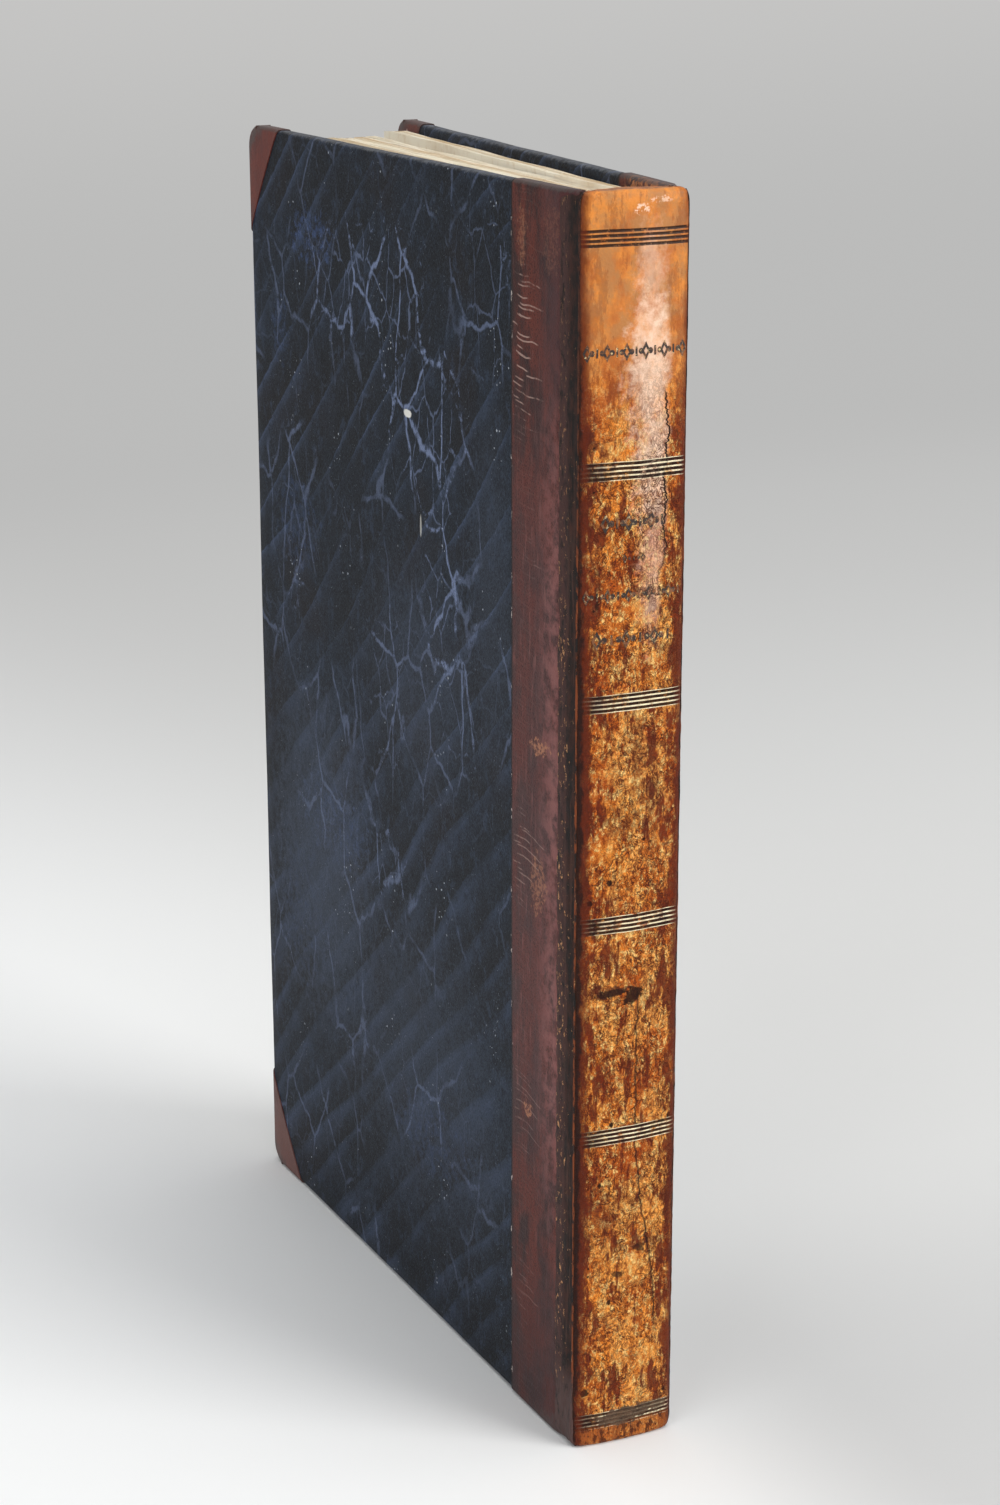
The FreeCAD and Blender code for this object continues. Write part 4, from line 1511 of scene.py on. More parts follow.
    def glued_back(self, material: Material) -> None:
        """The pasted folds between the shoulders, which carry the leaves.

        Args:
            material: Paper of the leaves.
        """
        depth, half = 1.05 * MM, 8.0 * MM
        middle = Vector((0, self.book.hinge_y + depth / 2 - 0.12 * MM, (self.head + self.tail) / 2))
        deselect()
        bpy.ops.mesh.primitive_cube_add(size=1.0, location=middle,
                                        scale=(2 * half, depth + 0.1 * MM, self.head - self.tail - 0.4 * MM))
        piece = name_active("glued_folds")
        settle(piece)
        edit_faces(piece, lambda: bpy.ops.mesh.subdivide(number_cuts=15))
        line = self.book.hinge_y

        def arch(place: Vector) -> Vector:
            """Rounds the back and ridges the head with the folds."""
            share = place.x / half
            if place.y < line:
                place.y -= 0.55 * MM * (1 - share * share)
            if place.z > 0.1:
                place.z += 0.1 * MM * math.sin(share * 60)
            return place

        place_vertices(piece, arch)
        paint(piece, "tone", lambda place: 0.6)
        smooth(piece)
        dress(piece, material)
        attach(piece, "book_block")
        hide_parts("text_block")


@dataclass
class Cover:
    """One cover: marbled paper, leather strip and corners over its board."""

    book: BookFrame
    side: Side
    paper_depth: float = 0.25 * MM
    back_depth: float = 3.10 * MM
    proud: float = 0.22 * MM
    board_start: float = 1.5 * MM
    strip_width: float = 22.5 * MM
    corner_along: float = 15.5 * MM
    corner_down: float = 21.5 * MM
    corner_hollow: float = 0.5 * MM
    corner_radius: float = 4.25 * MM
    edge_radius: float = 0.75 * MM
    roll_start: float = 12.0 * MM
    roll_depth: float = 0.28 * MM
    bevel_width: float = 5.4 * MM
    bevel_depth: float = 1.35 * MM
    core_inset: float = 0.35 * MM
    cell: float = 4.6 * MM
    seed: float = 0.0

    def slab(self, name: str, start: float, grow: float) -> Piece:
        """Rounded slab of the covered board, in the cover's own frame.

        Args:
            name: Name of the piece.
            start: Reach at which the slab starts.
            grow: How far it stands outside the paper.

        Returns:
            The slab, with x as minus the depth and y as the reach.
        """
        far = self.book.board_reach - self.paper_depth + grow
        low = self.paper_depth - grow
        top = self.book.head - low
        face, back = -(self.paper_depth - grow), -(self.back_depth + 0.3 * grow)
        columns, rows = round((far - start) / self.cell), round((top - low) / self.cell)
        piece = grid_sheet(name, max(columns, 3), rows, lambda s, t: Vector(
            (face, start + (far - start) * s, low + (top - low) * t)))
        edit_faces(piece, lambda: bpy.ops.mesh.extrude_region_move(
            TRANSFORM_OT_translate={"value": (back - face, 0, 0)}))
        face_outwards(piece)

        def at_corner(edge: bpy.types.MeshEdge) -> bool:
            """Tells the two short edges at the fore-edge corners."""
            a, b = (piece.data.vertices[i].co for i in edge.vertices)
            outer = min(a.y, b.y) > far - 1e-6
            high = min(abs(a.z - low), abs(a.z - top)) < 1e-6
            return abs(a.x - b.x) > 1e-4 and outer and high

        radius = self.corner_radius + grow
        edit_faces(piece, lambda: bpy.ops.mesh.bevel(offset=radius, segments=8, affect="EDGES"),
                   at_corner, "EDGE")
        turns = {}
        for face_index, polygon in enumerate(piece.data.polygons):
            for key in polygon.edge_keys:
                turns.setdefault(key, []).append(face_index)

        def at_rim(edge: bpy.types.MeshEdge) -> bool:
            """Tells the edges round both faces, but not along the joint."""
            faces = turns[tuple(sorted(edge.vertices))]
            normals = [piece.data.polygons[i].normal for i in faces]
            a, b = (piece.data.vertices[i].co for i in edge.vertices)
            along_joint = max(a.y, b.y) < start + 1e-6
            across = abs(a.x - b.x) > 1e-4
            return not across and not along_joint and normals[0].dot(normals[-1]) < 0.5

        edit_faces(piece, lambda: bpy.ops.mesh.bevel(offset=self.edge_radius, segments=3, affect="EDGES"),
                   at_rim, "EDGE")
        return piece

    def wave(self, place: Vector) -> Vector:
        """Slight unevenness of old board, kept off the inner face.

        Args:
            place: Place in the cover's own frame.

        Returns:
            The new place.
        """
        outer = ramp(place.x, -2.4 * MM, -0.9 * MM)
        broad = ripple(self.seed, place.y * 28, place.z * 28)
        fine = ripple(self.seed + 5, place.y * 130, place.z * 130)
        place.x += outer * (0.10 * MM * broad + 0.03 * MM * fine)
        rim = ramp(place.z, self.book.head - 3 * MM, self.book.head)
        rim -= ramp(place.z, 3 * MM, 0.0)
        rough = ripple(self.seed, place.y * 60, place.x * 100)
        place.z += 0.10 * MM * rim * rough - 0.05 * MM * rim
        return place

    def bevel(self, place: Vector) -> Vector:
        """Slopes the outer face down towards the joint.

        Args:
            place: Place in the cover's own frame.

        Returns:
            The new place.
        """
        roll = max(0.0, self.roll_start - place.y) / self.roll_start
        slope = max(0.0, self.bevel_width - place.y) / (self.bevel_width - self.board_start)
        outer = ramp(place.x, -2.6 * MM, -0.9 * MM)
        place.x -= (self.roll_depth * roll ** 2 + self.bevel_depth * slope ** 1.5) * outer
        return place

    def to_place(self, piece: Piece) -> None:
        """Takes a piece from the cover's own frame to its place on the book.

        Args:
            piece: Piece to move.
        """
        place_vertices(piece, lambda co: self.book.on_cover(self.side, -co.x, co.y, co.z))
        face_outwards(piece)

    def rubbing(self, place: Vector) -> float:
        """How much a place is rubbed: folds most, corners more.

        Args:
            place: Place in the cover's own frame.

        Returns:
            A share from 0 to 1.
        """
        far = self.book.board_reach - place.y
        tall = min(place.z, self.book.head - place.z)
        edge = min(far, tall)
        corner = math.hypot(far, tall)
        foot = ramp(place.z, 18 * MM, 3 * MM) * ramp(place.y, 15 * MM, 5 * MM)
        rubbed = ramp(edge, 1.6 * MM, 0.3 * MM) + 0.8 * ramp(corner, 9 * MM, 2 * MM)
        return min(1.0, rubbed + 0.65 * foot)

    def finish_piece(self, piece: Piece, material: Material, slot: str, *nodes: str) -> None:
        """Waves, paints, places and dresses a piece of the cover.

        Args:
            piece: Piece in the cover's own frame.
            material: Its material.
            slot: Its slot in the record; not used.
            nodes: CAD nodes that it stands for.
        """
        place_vertices(piece, self.wave)
        paint(piece, "worn", self.rubbing)
        self.to_place(piece)
        smooth(piece)
        dress(piece, material)
        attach(piece, self.side.cover)
        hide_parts(*nodes)
        log.info("%s: %d faces", piece.name, len(piece.data.polygons))

    def paper(self, material: Material) -> None:
        """Marbled paper over the whole board, under the leathers' edges.

        Args:
            material: Marbled paper.
        """
        prefix = self.side.prefix
        piece = self.slab(f"{prefix}_paper_side", self.strip_width - 3 * MM, 0.0)
        self.finish_piece(piece, material, "marbled_paper", f"{prefix}_marbled_paper")

    def core(self, material: Material) -> None:
        """Pressed board inside the coverings, eased towards the joint.

        Args:
            material: Raw board.
        """
        prefix = self.side.prefix
        piece = self.slab(f"{prefix}_board_core", self.board_start + 0.2 * MM, -self.core_inset)
        for step in range(1, 5):
            cut(piece, (0, 2 * step * MM + 1.0 * MM, 0), (0, 1, 0))
        place_vertices(piece, self.bevel)
        self.finish_piece(piece, material, "millboard", f"{prefix}_board")

    def strip(self, material: Material) -> None:
        """Leather strip along the joint.

        Args:
            material: Brown calf.
        """
        prefix = self.side.prefix
        piece = self.slab(f"{prefix}_strip_leather", self.board_start, self.proud)
        cut(piece, (0, self.strip_width, 0), (0, 1, 0), use_fill=True, clear_outer=True)
        for step in range(1, 12):
            cut(piece, (0, step * MM + 0.8 * MM, 0), (0, 1, 0))
        place_vertices(piece, self.bevel)
        self.finish_piece(piece, material, "brown_calf", f"{prefix}_joint_leather")

    def corner(self, material: Material, at_head: bool) -> None:
        """Leather corner with a slightly hollow long side.

        Args:
            material: Brown calf.
            at_head: True for the head corner, False for the tail corner.
        """
        prefix = self.side.prefix
        end = "head" if at_head else "tail"
        far, top = self.book.board_reach, self.book.head
        piece = self.slab(f"{prefix}_{end}_corner_leather", far - 40 * MM, self.proud)
        level = top - self.corner_down - 0.5 * MM if at_head else self.corner_down + 0.5 * MM
        cut(piece, (0, 0, level), (0, 0, 1), use_fill=True, clear_inner=at_head, clear_outer=not at_head)
        cut(piece, (0, far - self.corner_along - 0.5 * MM, 0), (0, 1, 0), use_fill=True, clear_inner=True)
        tip = top if at_head else 0.0
        inward = -1.0 if at_head else 1.0
        first = Vector((0, far - self.corner_along, tip))
        last = Vector((0, far, tip + inward * self.corner_down))
        chord = last - first
        towards = Vector((0, far, tip)) - (first + last) / 2
        normal = (towards - chord * (towards.dot(chord) / chord.length_squared)).normalized()
        radius = (chord.length ** 2 / 4 + self.corner_hollow ** 2) / (2 * self.corner_hollow)
        centre = (first + last) / 2 - normal * (radius - self.corner_hollow)
        deselect()
        bpy.ops.mesh.primitive_cylinder_add(vertices=420, radius=radius, depth=12 * MM, location=centre,
                                            rotation=(0, math.pi / 2, 0))
        cutter = bpy.context.object
        settle(cutter)
        apply_modifier(piece, "hollow_side", "BOOLEAN", operation="DIFFERENCE", object=cutter,
                       solver="EXACT")
        bpy.data.objects.remove(cutter)
        self.finish_piece(piece, material, "brown_calf", f"{prefix}_{end}_corner")

    def build(self, paper: Material, leather: Material,
              endpaper: Material, raw: Material) -> None:
        """Builds and dresses the whole cover.

        Args:
            paper: Marbled paper.
            leather: Brown calf.
            endpaper: Plain endpaper.
            raw: Board and cord.
        """
        self.core(raw)
        self.paper(paper)
        self.strip(leather)
        self.corner(leather, True)
        self.corner(leather, False)
        prefix = self.side.prefix
        coat(frame["nodes"][f"{prefix}_pastedown"], endpaper)
        coat(frame["nodes"][f"{prefix}_cord_slips"], raw)


@dataclass
class Back:
    """The rounded leather back, with its caps, tooling and joints."""

    book: BookFrame
    bands: tuple = ()
    front_x: float = 7.7 * MM
    front_y: float = -2.05 * MM
    front_fall: float = 0.47 * MM
    corner_x: float = 9.85 * MM
    corner_y: float = -0.65 * MM
    groove_x: float = 9.1 * MM
    groove_y: float = -0.15 * MM
    cap_half: float = 7.9 * MM
    cap_back: float = 2.2 * MM
    cap_thickness: float = 2.9 * MM
    rim_radius: float = 0.7 * MM
    line_depth: float = 0.13 * MM
    line_pitch: float = 0.78 * MM
    line_count: int = 4
    columns: int = 70

    def profile(self) -> list:
        """Outline of the back, seen from above, from the left groove to the right.

        Returns:
            Evenly spaced places, with y measured from the joints.
        """
        half = []
        for step in range(41):
            x = self.front_x * step / 40
            half.append(Vector((x, self.front_y + self.front_fall * (x / self.front_x) ** 2)))
        edge_y = self.front_y + self.front_fall
        bulge = Vector(((self.front_x + self.corner_x) / 2 + 0.75 * MM,
                        (edge_y + self.corner_y) / 2 - 0.45 * MM))
        ends = Vector((self.front_x, edge_y)), Vector((self.corner_x, self.corner_y))
        for step in range(1, 13):
            t = step / 12
            half.append(ends[0] * (1 - t) ** 2 + bulge * 2 * t * (1 - t) + ends[1] * t ** 2)
        for step in range(1, 5):
            half.append(ends[1].lerp(Vector((self.groove_x, self.groove_y)), step / 4))
        whole = [Vector((-p.x, p.y)) for p in reversed(half[1:])] + half
        lengths = [0.0]
        for first, second in zip(whole, whole[1:]):
            lengths.append(lengths[-1] + (second - first).length)
        even, cursor = [], 0
        for step in range(self.columns + 1):
            goal = lengths[-1] * step / self.columns
            while cursor < len(lengths) - 2 and lengths[cursor + 1] < goal:
                cursor += 1
            part = (goal - lengths[cursor]) / (lengths[cursor + 1] - lengths[cursor])
            even.append(whole[cursor].lerp(whole[cursor + 1], clamp(part)))
        return even

    def heights(self) -> list:
        """Heights of the mesh rows, close together in the tooled bands.

        Returns:
            Heights from the tail to the head, in metres.
        """
        rows = {round(step * 1.6 * MM, 7) for step in range(1, int(self.book.head / (1.6 * MM)))}
        span = self.line_pitch * self.line_count / 2
        for band in self.bands:
            rows = {row for row in rows if abs(row - band) > span + 0.1 * MM}
            for step in range(29):
                rows.add(round(band - span + 2 * span * step / 28, 7))
        low, high = self.rim_radius, self.book.head - self.rim_radius
        return sorted({low, high} | {row for row in rows if low + 0.2 * MM < row < high - 0.2 * MM})

    def tooling(self, height: float) -> float:
        """Depth of the tooled lines at a height.

        Args:
            height: Height in metres.

        Returns:
            Depth in metres.
        """
        half = self.line_pitch * self.line_count / 2
        for band in self.bands:
            below = height - band + half
            if 0 < below < 2 * half:
                away = abs((below / self.line_pitch) % 1.0 - 0.5)
                return self.line_depth * (1 - ramp(away, 0.14, 0.34))
        return 0.0

    def narrowing(self, end: float, side: float, x: float) -> float:
        """Share by which a place moves in where the back's corners are rounded.

        Args:
            end: Distance from the head or the tail.
            side: Which side, by its sign.
            x: Distance from the middle of the back.

        Returns:
            A factor for x.
        """
        corner = (2.2, 3.0)[side > 0] * MM
        turn = clamp(1 - end / corner)
        return 1 - 0.13 * (1 - math.sqrt(1 - turn * turn)) * min(abs(x) / self.corner_x, 1.05) ** 3

    def skin(self, material: Material) -> None:
        """The leather of the back as one sheet that turns in over head and tail.

        Args:
            material: Tan calf.
        """
        profile = self.profile()
        rows = self.heights()
        caps = 12
        total = len(rows) + 2 * caps
        head = self.book.head

        def cap_point(point: Vector, step: int) -> tuple:
            """Place over a cap: round the rim, across the top, and down behind it."""
            back_x = clamp(point.x * self.cap_half / self.corner_x, -self.cap_half, self.cap_half)
            back_y = self.cap_back * (1 - (back_x / self.cap_half) ** 2) + 0.1 * MM
            inner = Vector((back_x, back_y))
            inset = point.copy()
            inset.x *= 1 - 0.6 * MM / self.corner_x
            inset.y += 0.55 * MM
            if step <= 4:
                turn = math.pi / 2 * step / 4
                place = point.lerp(inset, 1 - math.cos(turn))
                return place, self.rim_radius * (1 - math.sin(turn))
            if step <= 8:
                return inset.lerp(inner, (step - 4) / 4), 0.06 * MM * math.sin(math.pi * (step - 4) / 4)
            return inner, self.cap_thickness * ((step - 8) / 4) ** 1.5

        def shape(s: float, t: float) -> Vector:
            """Place of the sheet at shares s and t."""
            point = profile[round(s * self.columns)]
            row = round(t * (total - 1))
            if row < caps:
                place, drop = cap_point(point, caps - row)
                height = drop
            elif row >= total - caps:
                place, drop = cap_point(point, row - (total - caps) + 1)
                height = head - drop
            else:
                place, height = point.copy(), rows[row - caps]
                front = ramp(abs(point.x), self.corner_x, self.front_x)
                wear = 0.5 + 0.5 * ripple(point.x * 150, height * 60, 3.0)
                bend = 0.12 * MM * ripple(point.x * 120, 7.0, 0.0)
                dip = self.tooling(height + bend) * front * (0.55 + 0.6 * wear)
                uneven = 0.09 * MM * ripple(point.x * 90, height * 45, 0.0)
                uneven += 0.05 * MM * ripple(point.x * 420, height * 300, 9.0)
                place.y += dip + uneven * front
            end = min(max(height, 0.0), max(head - height, 0.0))
            place = Vector((place.x * self.narrowing(end, point.x, point.x), place.y))
            roll = clamp((2.6 * MM - end) / (2.6 * MM))
            if caps <= row < total - caps:
                place.y += (0.10 * math.sin(math.pi * ramp(end, 1.6 * MM, 4.2 * MM)) - 0.20 * roll) * MM
            sag = abs(0.22 * MM * ripple(point.x * 200, height * 3, 1.0)
                      * (ramp(height, head - 6 * MM, head) + ramp(height, 6 * MM, 0.0)))
            inward = sag if height > 0.1 else -sag
            return Vector((place.x, self.book.hinge_y + place.y, height - inward))

        piece = grid_sheet("back_leather", self.columns, total - 1, shape)
        line = self.book.hinge_y

        def rubbing(place: Vector) -> float:
            """Rubbed caps and corners, and the sides by the joints, which the tan calf darkens as painted shade.
            """
            tall = min(place.z, head - place.z)
            joint = ramp(abs(place.x), self.corner_x - 0.9 * MM, self.corner_x - 0.1 * MM)
            behind = ramp(place.y - line, -1.6 * MM, -0.9 * MM)
            return min(1.0, 0.9 * joint + 0.8 * ramp(tall, 1.6 * MM, 0.2 * MM) * max(behind, 0.5))

        paint(piece, "worn", rubbing)
        front = Vector((0, line - 2 * MM, head / 2))
        middle = min(piece.data.polygons, key=lambda polygon: (polygon.center - front).length)
        face_towards(piece, (0, -1, 0), middle.index)
        thicken(piece, 0.3 * MM, -1.0)
        smooth(piece, 50.0)
        dress(piece, material)
        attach(piece, "book_block")
        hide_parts("spine_leather")
        log.info("back_leather: %d faces", len(piece.data.polygons))

    def joint(self, side: Side, material: Material) -> None:
        """Perished leather between the back and one cover.

        Args:
            side: Which joint.
            material: Joint leather.
        """
        book = self.book
        cover_path = ((0.05, 5.6), (0.14, 4.8), (0.44, 3.7), (0.84, 2.7), (1.30, 1.8), (1.80, 1.0))
        path = [book.on_cover(side, depth * MM, reach * MM, 0.0) for depth, reach in cover_path]
        spine_path = ((8.82, 0.10), (9.30, -0.22), (9.72, -0.50), (9.93, -0.72), (9.80, -0.95), (9.60, -1.14))
        path += [Vector((side.value * x * MM, book.hinge_y + y * MM, 0)) for x, y in spine_path]

        def shape(s: float, t: float) -> Vector:
            """Place of the sheet, rough and flaking."""
            height = 0.2 * MM + (book.head - 0.6 * MM) * t
            ends = []
            for row in (1.0, 12.0):
                ragged = 0.5 + 0.5 * ripple(row, height * 160, side.value)
                ends.append(clamp(ragged + 0.25 * ripple(row + 3.0, height * 700, side.value)))
            near, beyond = 0.12 * ends[0], 1.0 - 0.14 * ends[1]
            along = (near + (beyond - near) * s) * (len(path) - 1)
            place = along_path(path, along)
            level = path[1].lerp(path[-3], clamp((along - 1) / (len(path) - 4)))
            if 1 < along < len(path) - 3:
                place = place.lerp(level, 0.85 * ramp(height, 15 * MM, 6 * MM))
            rough = ripple(s * 9 + side.value * 9, height * 520, 2.0)
            coarse = ripple(s * 4 + side.value * 5, height * 150, 6.0)
            lift = (0.10 + 0.16 * rough + 0.16 * coarse) * MM * math.sin(math.pi * s)
            end = min(height, book.head - height)
            inward = self.narrowing(end, side.value * 1.0, place.x)
            place = Vector((place.x * inward, place.y, 0.0))
            return place + Vector((side.value * lift, -lift * 0.6, height))

        piece = grid_sheet(f"{side.prefix}_joint_skin", 22, 620, shape)
        paint(piece, "torn", lambda place: ramp(place.y - book.hinge_y, 2.2 * MM, 3.9 * MM))
        paint(piece, "tanned", lambda place: ramp(book.hinge_y - place.y, 0.40 * MM, 0.85 * MM))
        face_towards(piece, (side.value, 0, 0))
        thicken(piece, 0.25 * MM, -1.0)
        smooth(piece, 45.0)
        # Its near black joint calf is partly painted shade in the groove.
        dress(piece, material)
        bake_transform(piece)
        log.info("%s: %d faces", piece.name, len(piece.data.polygons))

    def endpaper_fold(self, side: Side, material: Material) -> None:
        """Endpaper that runs from the cover to the first leaf, folded down in the joint.

        Args:
            side: Which joint.
            material: Endpaper.
        """
        book = self.book
        outer = book.on_cover(side, 3.34 * MM, 6.0 * MM, 0.0)
        lower = book.on_cover(side, 3.34 * MM, 1.9 * MM, 0.0)
        leaf_x = side.value * 6.72 * MM
        inner = Vector((leaf_x, book.hinge_y + 1.7 * MM, 0))
        upper = Vector((leaf_x + side.value * 0.22 * MM, book.hinge_y + 6.0 * MM, 0))
        bottom = (lower + inner) / 2 - Vector((0, 0.45 * MM, 0))
        path = (outer, lower, bottom, inner, upper)

        def shape(s: float, t: float) -> Vector:
            """Place of the fold."""
            place = along_path(path, s * (len(path) - 1))
            return place + Vector((0, 0, 3.2 * MM + (book.head - 6.4 * MM) * t))

        piece = grid_sheet(f"{side.prefix}_endpaper_fold", 24, 40, shape)
        thicken(piece, 0.06 * MM)
        smooth(piece, 80.0)
        dress(piece, material)
        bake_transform(piece)

    def surface(self, x: float, height: float, lift: float) -> Vector:
        """Place on the back's front.

        Args:
            x: Distance from its middle.
            height: Height above the tail.
            lift: Distance above the leather.

        Returns:
            The place in the row frame.
        """
        y = self.front_y + self.front_fall * (x / self.front_x) ** 2 - lift
        return Vector((x, self.book.hinge_y + y, height))

    def stamps(self, material: Material) -> None:
        """Rows of plain lozenges and dots on the upper panels of the back.

        Args:
            material: Worn gilt.
        """
        rows = ((199.0, 21, 17.2, 1.5), (170.7, 11, 10.4, 1.7), (164.6, 5, 3.4, 0.8),
                (158.4, 19, 17.0, 1.35), (150.9, 11, 13.2, 1.7))
        pieces = []
        for height, count, width, size in rows:
            for index in range(count):
                form = index % 4
                x = width * MM * (index / (count - 1) - 0.5)
                corners = (4, 12, 4, 12)[form]
                tall = size * MM * (1.0, 0.34, 0.72, 0.34)[form]
                wide = size * MM * (0.52, 0.30, 0.16, 0.30)[form]
                turn = 0.0 if form == 0 else math.pi / 4
                deselect()
                bpy.ops.mesh.primitive_circle_add(vertices=corners, fill_type="NGON", radius=1.0,
                                                  rotation=(0, 0, turn))
                piece = bpy.context.object
                settle(piece)
                edit_faces(piece, lambda: bpy.ops.mesh.inset(thickness=0.38, depth=0.0))
                if form == 0:
                    edit_faces(piece, lambda: bpy.ops.mesh.delete(type="FACE"),
                               lambda face: face.center.length < 0.05)
                place_vertices(piece, lambda co: self.surface(
                    x + co.x * wide, height * MM + co.y * tall, 0.05 * MM))
                thicken(piece, 0.05 * MM)
                pieces.append(piece)
        row = join(pieces, "back_stamps")
        face_outwards(row)
        dress(row, material)
        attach(row, "book_block")
        log.info("back_stamps: %d of them, %d faces", len(pieces), len(row.data.polygons))


@dataclass
class Studio:
    """Pale sweep, soft lights and the camera of the photograph."""

    book: BookFrame
    photo_size: tuple = (1000, 1505)
    camera_place: tuple = (-211.36, -430.27, 276.28)
    yaw: float = -23.597
    pitch: float = 16.951
    roll: float = -0.089
    focal_pixels: float = 2947.3
    sweep_size: float = 6.0
    sweep_front: float = 2.5
    bend_start: float = 1.2
    bend_radius: float = 0.8

    def camera(self) -> None:
        """Adds the camera."""
        data = bpy.data.cameras.new("photo_camera")
        data.sensor_width = 36.0
        data.lens = self.focal_pixels / max(self.photo_size) * data.sensor_width
        data.clip_end = 20.0
        camera = bpy.data.objects.new("photo_camera", data)
        bpy.context.scene.collection.objects.link(camera)
        x, y, z = (number * MM for number in self.camera_place)
        turn = (Matrix.Rotation(math.radians(self.yaw), 4, "Z")
                @ Matrix.Rotation(math.radians(90 - self.pitch), 4, "X")
                @ Matrix.Rotation(math.radians(self.roll), 4, "Z"))
        camera.matrix_world = Matrix.Translation((x, self.book.hinge_y + y, z)) @ turn
        bpy.context.scene.camera = camera

    def sweep_material(self) -> Material:
        """Pale paper sweep with painted shade, whose far part glows to keep an even tone in the camera.

        Returns:
            The material.
        """
        material = bpy.data.materials.new("pale_sweep")
        material.use_nodes = True
        sheet = NodeSheet(material.node_tree)
        place = sheet.add("TexCoord").outputs["Object"]
        across, away, height = sheet.axes(place)
        # Painted shade: the floor is darker to the right, in the front-right corner and towards the back, then a
        # little lighter up the backdrop.
        near = sheet.lay((0.9, 0.905, 0.9), (0.7, 0.7, 0.69), sheet.fade(across, -0.08, 0.14))
        corner = sheet.product(sheet.fade(across, -0.01, 0.05), sheet.fade(away, 0.02, -0.08))
        near = sheet.lay(near, (0.575, 0.575, 0.57), corner)
        colour = sheet.lay(near, (0.5, 0.5, 0.495), sheet.fade(away, 0.1, 0.85))
        colour = sheet.lay(colour, (0.56, 0.557, 0.55), sheet.fade(height, 0.0, 0.2))
        diffuse = sheet.add("BsdfDiffuse", Color=colour)
        # Painted light: the far part glows with its colour for camera and glossy rays, keeping an even tone.
        glow = sheet.add("Emission", Color=colour, Strength=1.0)
        rays = sheet.add("LightPath")
        seen = sheet.math("MAXIMUM", rays.outputs["Is Camera Ray"], rays.outputs["Is Glossy Ray"])
        wall = sheet.fade(away, 0.20, 0.70)
        blend = sheet.add("MixShader")
        sheet.plug(blend.inputs[0], sheet.product(seen, wall))
        sheet.tree.links.new(diffuse.outputs[0], blend.inputs[1])
        sheet.tree.links.new(glow.outputs[0], blend.inputs[2])
        output = sheet.add("OutputMaterial")
        sheet.tree.links.new(blend.outputs[0], output.inputs[0])
        return material

    def sweep(self) -> None:
        """Adds the floor, which curves up into the backdrop."""
        def shape(s: float, t: float) -> Vector:
            """Place on the sweep."""
            x = (s - 0.5) * self.sweep_size
            run = t * self.sweep_size - self.sweep_front - self.bend_start
            if run < 0:
                return Vector((x, run + self.bend_start, 0.0))
            angle = min(run / self.bend_radius, math.pi / 2)
            rise = run - self.bend_radius * angle + self.bend_radius * (1 - math.cos(angle))
            return Vector((x, self.bend_start + self.bend_radius * math.sin(angle), rise))

        floor = grid_sheet("sweep", 2, 90, shape)
        face_towards(floor, (0, 0, 1))
        smooth(floor, 80.0)
        floor.data.materials.append(self.sweep_material())

    def lamp(self, name: str, place: tuple, target: tuple, size: float, power: float,
             colour: Colour = (1.0, 1.0, 1.0)) -> None:
        """Adds a soft lamp.

        Args:
            name: Name of the lamp.
            place: Where it stands, in metres.
            target: Where it points.
            size: Side of its square.
            power: Power in watts.
            colour: Its tint.
        """
        data = bpy.data.lights.new(name, "AREA")
        data.size = size
        data.energy = power
        data.color = colour
        lamp = bpy.data.objects.new(name, data)
        bpy.context.scene.collection.objects.link(lamp)
        turn = (Vector(target) - Vector(place)).to_track_quat("-Z", "Y")
        lamp.matrix_world = Matrix.Translation(place) @ turn.to_matrix().to_4x4()

    def build(self) -> None:
        """Adds the sweep, lamps, world and camera."""
        self.sweep()
        self.lamp("key_right", (0.95, -1.15, 0.75), (0.0, 0.0, 0.1), 0.9, 20.0, (1.0, 0.99, 0.97))
        self.lamp("top_soft", (0.1, -0.1, 1.6), (0.0, 0.0, 0.0), 1.4, 15.0)
        self.lamp("fill_left", (-1.5, -0.9, 0.8), (0.0, 0.0, 0.1), 1.2, 10.0, (0.97, 0.98, 1.0))
        world = bpy.data.worlds.new("studio")
        world.use_nodes = True
        background = world.node_tree.nodes["Background"]
        background.inputs["Color"].default_value = (0.95, 0.97, 1.0, 1.0)
        background.inputs["Strength"].default_value = 0.28
        bpy.context.scene.world = world
        bpy.context.scene.view_settings.view_transform = "Standard"
        self.camera()


def dress_hidden_nodes(effects: Effects) -> Material:
    """Gives the pieces inside the back their plain finish.

    Args:
        effects: Shared groups.

    Returns:
        The material, for the boards too.
    """
    raw = RawStuff("raw_board").build(effects)
    for name in ("spine_card", "spine_lining", *(f"sewing_cord_{number}" for number in range(1, 5))):
        coat(frame["nodes"][name], raw)
    return raw


def on_spine(book: BookFrame, *spots: tuple) -> tuple:
    """Places spots on the front of the back.

    Args:
        book: Places of the book.
        spots: X, height, width, height of each spot, and its strength.

    Returns:
        The spots.
    """
    return tuple(Blot(x, book.hinge_y / MM - 1.8, z, wide, tall, strength)
                 for x, z, wide, tall, strength in spots)


def on_board(book: BookFrame, side: Side, *spots: tuple) -> tuple:
    """Places spots on the outside of a cover.

    Args:
        book: Places of the book.
        side: Which cover.
        spots: Reach, height, width, height of each spot, and its strength.

    Returns:
        The spots.
    """
    result = []
    for reach, z, wide, tall, strength in spots:
        place = book.on_cover(side, 0.1 * MM, reach * MM, z * MM) / MM
        result.append(Blot(place.x, place.y, place.z, wide, tall, strength))
    return tuple(result)


